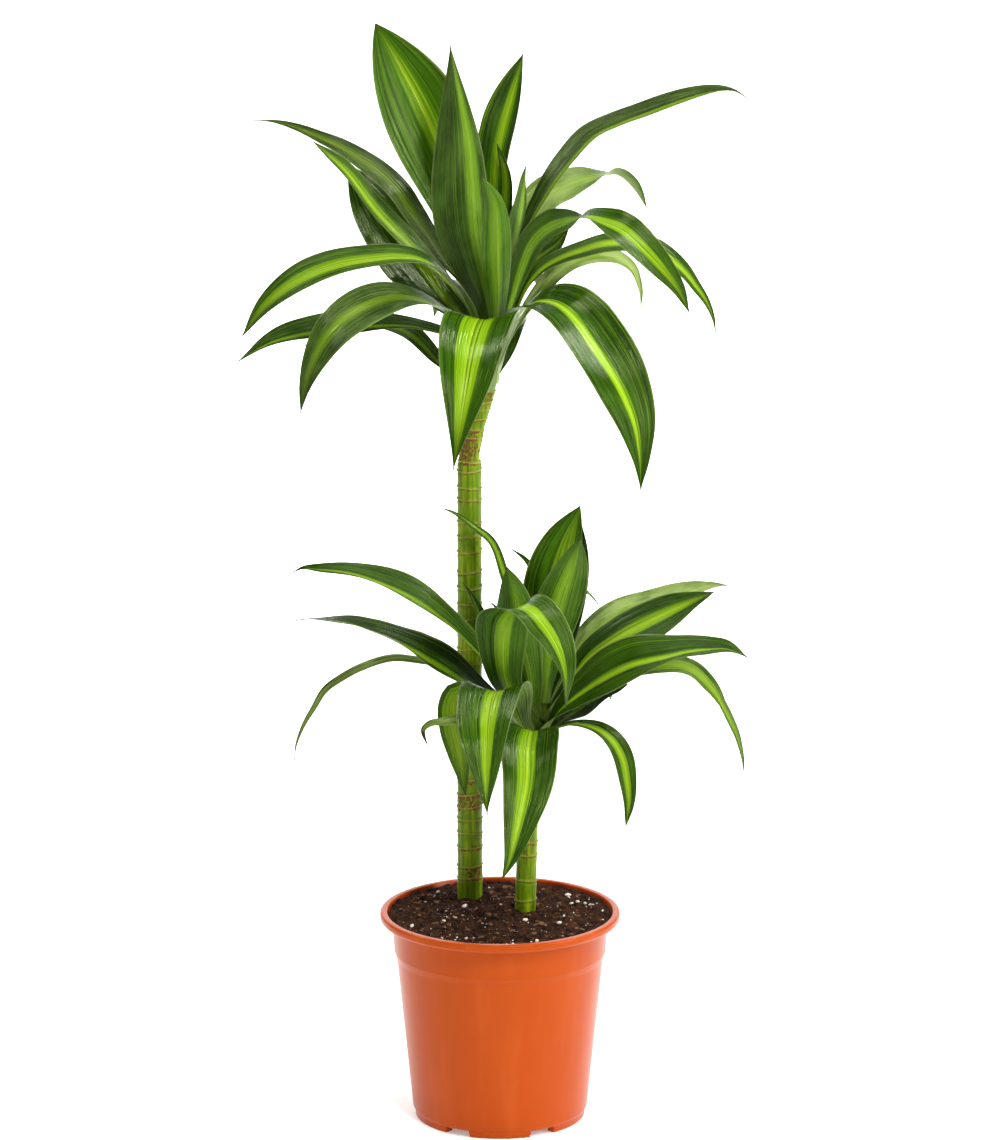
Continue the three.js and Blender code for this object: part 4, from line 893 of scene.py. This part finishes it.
def seat_point(head, seat, half):
    """Where the midrib leaves the shoot."""
    angle, height = math.radians(seat[0]), head["heart"][2] + seat[1]
    bend = math.radians(BASE_FOLD)
    clear = between(head["radii"], height) + SEAT_CLEARANCE
    out = min(clear / math.cos(bend), clear + half * math.sin(bend))
    return axis_point(head["axis"], height) + (out * math.cos(angle), out * math.sin(angle), 0)


def smooth_curve(points, count):
    """Places and directions at equal steps along a centripetal curve through the points."""
    ends = [2 * points[0] - points[1]] + points + [2 * points[-1] - points[-2]]
    places = []
    for k in range(len(points) - 1):
        p0, p1, p2, p3 = ends[k : k + 4]
        d0, d1, d2 = (max(1e-4, np.linalg.norm(b - a) ** 0.5) for a, b in ((p0, p1), (p1, p2), (p2, p3)))
        m1 = ((p1 - p0) / d0 - (p2 - p0) / (d0 + d1) + (p2 - p1) / d1) * d1
        m2 = ((p2 - p1) / d1 - (p3 - p1) / (d1 + d2) + (p3 - p2) / d2) * d1
        for t in np.linspace(0, 1, 40, endpoint=False):
            cubic = (2 * p1 - 2 * p2 + m1 + m2) * t**3 + (-3 * p1 + 3 * p2 - 2 * m1 - m2) * t**2
            places.append(cubic + m1 * t + p1)
    places = np.array(places + [points[-1]])
    run = np.concatenate([[0], np.cumsum(np.linalg.norm(np.diff(places, axis=0), axis=1))])
    steps = np.linspace(0, run[-1], count)
    even = np.stack([np.interp(steps, run, places[:, k]) for k in range(3)], 1)
    slopes = np.gradient(even, axis=0)
    return even, slopes / np.linalg.norm(slopes, axis=1)[:, None]


def blade_vertices(head, leaf, draw):
    """The upper and lower skins of one blade, row by row from base to tip."""
    width, seat, fold, roll = (leaf[key] for key in ("width", "seat", "fold", "roll"))
    points = [seat_point(head, seat, half_width(leaf, 0))] + [leaf_point(head, p) for p in leaf["path"]]
    places, slopes = smooth_curve(points, BLADE_ROWS)
    outward = math.radians(leaf["face"])
    side = np.array([math.sin(outward), -math.cos(outward), 0.0])
    clasp_radius = between(head["radii"], head["heart"][2] + seat[1]) + SEAT_CLEARANCE
    ranges = (ANY_ANGLE, (1.6, 3.1), (0.5, 1.0))
    ripple = [[draw.uniform(*limits) for limits in ranges] for _ in range(2)]
    ripple_height = min(RIPPLE_LIMIT, RIPPLE_SHARE * width)
    upper, lower = [], []
    for i, (place, slope) in enumerate(zip(places, slopes)):
        share = i / (BLADE_ROWS - 1)
        side = side - slope * (side @ slope)
        side = side / np.linalg.norm(side)
        turn = -math.radians(float(np.interp(share, np.linspace(0, 1, len(roll)), roll)))
        right = side * math.cos(turn) + np.cross(slope, side) * math.sin(turn)
        rise_way = np.cross(right, slope)
        half = half_width(leaf, share)
        bend = math.radians(fold + (BASE_FOLD - fold) * (1 - smooth_share(share / BASE_FOLD_LENGTH)))
        clasp = 1 - smooth_share(share / CLASP_LENGTH)
        calm = smooth_share(share / 0.3) * smooth_share((1 - share) / 0.12)
        for t in BLADE_COLUMNS:
            across = t * half * math.cos(bend)
            lift = half * math.sin(bend) * abs(t) ** 1.3
            phase, waves, strength = ripple[t > 0]
            wave = math.sin(phase + waves * 2 * math.pi * share)
            lift += calm * ripple_height * strength * abs(t) ** 2.5 * wave
            wrap = math.radians(CLASP_ANGLE) * t
            across += clasp * (clasp_radius * math.sin(wrap) - across)
            lift += clasp * (clasp_radius * (1 - math.cos(wrap)) - lift)
            top = place + right * across + rise_way * lift
            thick = MARGIN_THICKNESS + (MIDRIB_THICKNESS - MARGIN_THICKNESS) * (1 - abs(t)) ** 2
            thick *= 1 - 0.5 * smooth_share((share - 0.8) / 0.2)
            upper.append(top)
            lower.append(top - rise_way * thick)
    return upper, lower


def build_blade(name, head, leaf, draw):
    upper, lower = blade_vertices(head, leaf, draw)
    columns = len(BLADE_COLUMNS)
    count = len(upper)
    faces, under = [], []
    for i in range(BLADE_ROWS - 1):
        a, b = i * columns, (i + 1) * columns
        for j in range(columns - 1):
            faces.append((a + j, b + j, b + j + 1, a + j + 1))
            faces.append((count + a + j, count + a + j + 1, count + b + j + 1, count + b + j))
            under += [0, 1]
        faces.append((a, count + a, count + b, b))
        faces.append((a + columns - 1, b + columns - 1, count + b + columns - 1, count + a + columns - 1))
        under += [0, 0]
    last = (BLADE_ROWS - 1) * columns
    for j in range(columns - 1):
        faces.append((j, j + 1, count + j + 1, count + j))
        faces.append((last + j, count + last + j, count + last + j + 1, last + j + 1))
        under += [0, 0]
    blade = mesh_object(name, np.array(upper + lower) * MM, faces)
    blade.data.polygons.foreach_set("material_index", under)
    shares = [i / (BLADE_ROWS - 1) for i in range(BLADE_ROWS) for _ in range(columns)] * 2
    sides = list(BLADE_COLUMNS) * (2 * BLADE_ROWS)
    layer = blade.data.uv_layers.new(name="blade")
    for loop in blade.data.loops:
        v = loop.vertex_index
        layer.data[loop.index].uv = (0.5 + 0.5 * sides[v], shares[v])
    centre, spread, bright = leaf["stripe"]
    paint_points(blade, "stripe", [(centre, spread, bright)] * (2 * count))
    seed = draw.uniform(0, 50)
    paint_points(blade, "skin", [(leaf["tone"], leaf["under"], seed)] * (2 * count))
    # The first number is the painted sheen, pale colour standing in for reflected light; the second is the dry
    # tip.
    paint_points(blade, "age", [(leaf["sheen"], leaf["dry"], 0.0)] * (2 * count))
    return blade


def build_markings():
    """The pattern along a blade: striped core, thin lines, base, tip, margins, ribs and clouds."""
    group = bpy.data.node_groups.new("blade_markings", "ShaderNodeTree")

    def sum_of(operation, *values):
        return calculate(group, operation, *values)

    place = split(group, shade(group, "UVMap", {}, uv_map="blade").outputs[0])
    stripe, skin, age = (painted(group, name) for name in ("stripe", "skin", "age"))
    across = sum_of("MULTIPLY_ADD", place[0], 2.0, -1.0)

    def streaks(fineness, length, shift, detail):
        x = sum_of("MULTIPLY", across, fineness)
        y = sum_of("MULTIPLY", place[1], length)
        z = sum_of("ADD", skin[2], shift)
        vector = shade(group, "CombineXYZ", {0: x, 1: y, 2: z}).outputs[0]
        return cloud(group, vector, 1.0, detail=detail)

    wander = sum_of("MULTIPLY_ADD", streaks(0.6, 2.5, 3.0, 2.0), 0.2, -0.1)
    fibres = streaks(9.0, 1.2, 11.0, 4.0)
    lines = streaks(16.0, 0.7, 17.0, 2.0)
    hairs = streaks(26.0, 0.8, 23.0, 2.0)
    clouds = streaks(1.5, 7.0, 31.0, 4.0)
    fine_ribs, broad_ribs = streaks(44.0, 1.0, 29.0, 2.0), streaks(12.0, 0.9, 37.0, 2.0)
    ribs = sum_of("MULTIPLY_ADD", fine_ribs, 0.35, broad_ribs)
    off_centre = sum_of("SUBTRACT", sum_of("ADD", across, wander), stripe[0])
    off_centre = sum_of("DIVIDE", sum_of("ABSOLUTE", off_centre), stripe[1])
    ragged = sum_of("SUBTRACT", fibres, 0.5)
    off_centre = sum_of("MULTIPLY_ADD", ragged, 1.3, off_centre)
    fade = step_down(group, place[1], 0.78, 0.99, 0.8)
    strength = sum_of("MULTIPLY", fade, stripe[2])
    band = step_down(group, off_centre, 0.7, 1.15)
    band = sum_of("MULTIPLY", band, strength)
    core = step_down(group, off_centre, 0.05, 0.55)
    tip_edge = sum_of("MULTIPLY_ADD", age[1], -0.014, 1.0)
    tip_edge = sum_of("MULTIPLY_ADD", sum_of("SUBTRACT", clouds, 0.5), 0.05, tip_edge)
    found = {
        "Stripe": sum_of("MAXIMUM", band, step_up(group, hairs, 0.60, 0.70, 0.4)),
        "Core": sum_of("MULTIPLY", core, strength),
        "Lines": step_up(group, lines, 0.52, 0.62, 0.85),
        "Base": step_down(group, place[1], 0.02, 0.15),
        "Tip": step_up(group, sum_of("SUBTRACT", place[1], tip_edge), -0.012, 0.012),
        "Margin": step_up(group, sum_of("ABSOLUTE", across), 0.93, 0.985),
        "Ribs": ribs,
        "Cloud": clouds,
    }
    output = group.nodes.new("NodeGroupOutput")
    for name, value in found.items():
        group.interface.new_socket(name, in_out="OUTPUT", socket_type="NodeSocketFloat")
        group.links.new(value, output.inputs[name])
    return group


def leaf_skin(name, markings, roughness, is_under, dark, deep, fresh, stripe, core, pale):
    """One side of a blade: its green, then each marking laid over what is below it."""
    material, tree, shader = new_finish(name, roughness=roughness, specular=0.26, glint=(0.85, 1, 0.4))
    marks = tree.nodes.new("ShaderNodeGroup")
    marks.node_tree = markings
    marks = marks.outputs
    skin, age = painted(tree, "skin"), painted(tree, "age")

    def times(first, second):
        return calculate(tree, "MULTIPLY", first, second)

    # On the upper skin this pale share is a painted sheen standing in for reflected light; on the under skin
    # it is the paler underside.
    pale_share = skin[1] if is_under else times(age[0], age[0])
    bleached = step_up(tree, marks["Cloud"], 0.25, 0.65, 0.9)
    colour = dark
    for share, over in (
        (step_up(tree, skin[0], 0.0, 0.35), deep),
        (step_up(tree, skin[0], 0.25, 1.0), fresh),
        (step_up(tree, marks["Cloud"], 0.38, 0.72, 0.4), fresh),
        (step_up(tree, marks["Ribs"], 0.64, 0.80, 0.7), dark),
        (times(marks["Lines"], 0.3), fresh),
        (marks["Stripe"], stripe),
        (times(marks["Core"], 0.6), core),
        (times(marks["Lines"], marks["Stripe"]), fresh),
        (times(pale_share, bleached), pale),
        (times(marks["Margin"], 0.4), MARGIN_COLOUR),
        (times(marks["Base"], 0.35 if is_under else 0.1), BASE_COLOUR),
        (marks["Tip"], DRY_TIP_COLOUR),
    ):
        colour = tint(tree, share, colour, over)
    feed(tree, shader.inputs["Base Color"], colour)
    dull = calculate(tree, "MULTIPLY_ADD", marks["Tip"], 0.35, roughness - 0.06)
    dull = calculate(tree, "MULTIPLY_ADD", marks["Cloud"], 0.14, dull)
    feed(tree, shader.inputs["Roughness"], dull)
    roughen(tree, shader, calculate(tree, "MULTIPLY_ADD", marks["Cloud"], 1.6, marks["Ribs"]), 0.9, 0.0012)
    return material


blade_markings = build_markings()
upper_skin = leaf_skin("leaf_upper_skin", blade_markings, 0.15, False, **UPPER_COLOURS)
under_skin = leaf_skin("leaf_under_skin", blade_markings, 0.30, True, **UNDER_COLOURS)
leaf_draw = np.random.default_rng(29)
for prefix, head, leaves in (
    ("upper_leaf_", UPPER_HEAD, UPPER_LEAVES),
    ("lower_leaf_", LOWER_HEAD, LOWER_LEAVES),
):
    for leaf_name, leaf in leaves.items():
        node = prefix + leaf_name
        blade = build_blade(node + "_blade", head, leaf, leaf_draw)
        blade.data.materials.append(upper_skin)
        blade.data.materials.append(under_skin)
        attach(blade, "root")
        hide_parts(node)

# ---------------------------------------------------------------- sizes and finish
sizes = {"cad": [list(corner) for corner in solid_box], "visual": [list(corner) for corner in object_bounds()]}
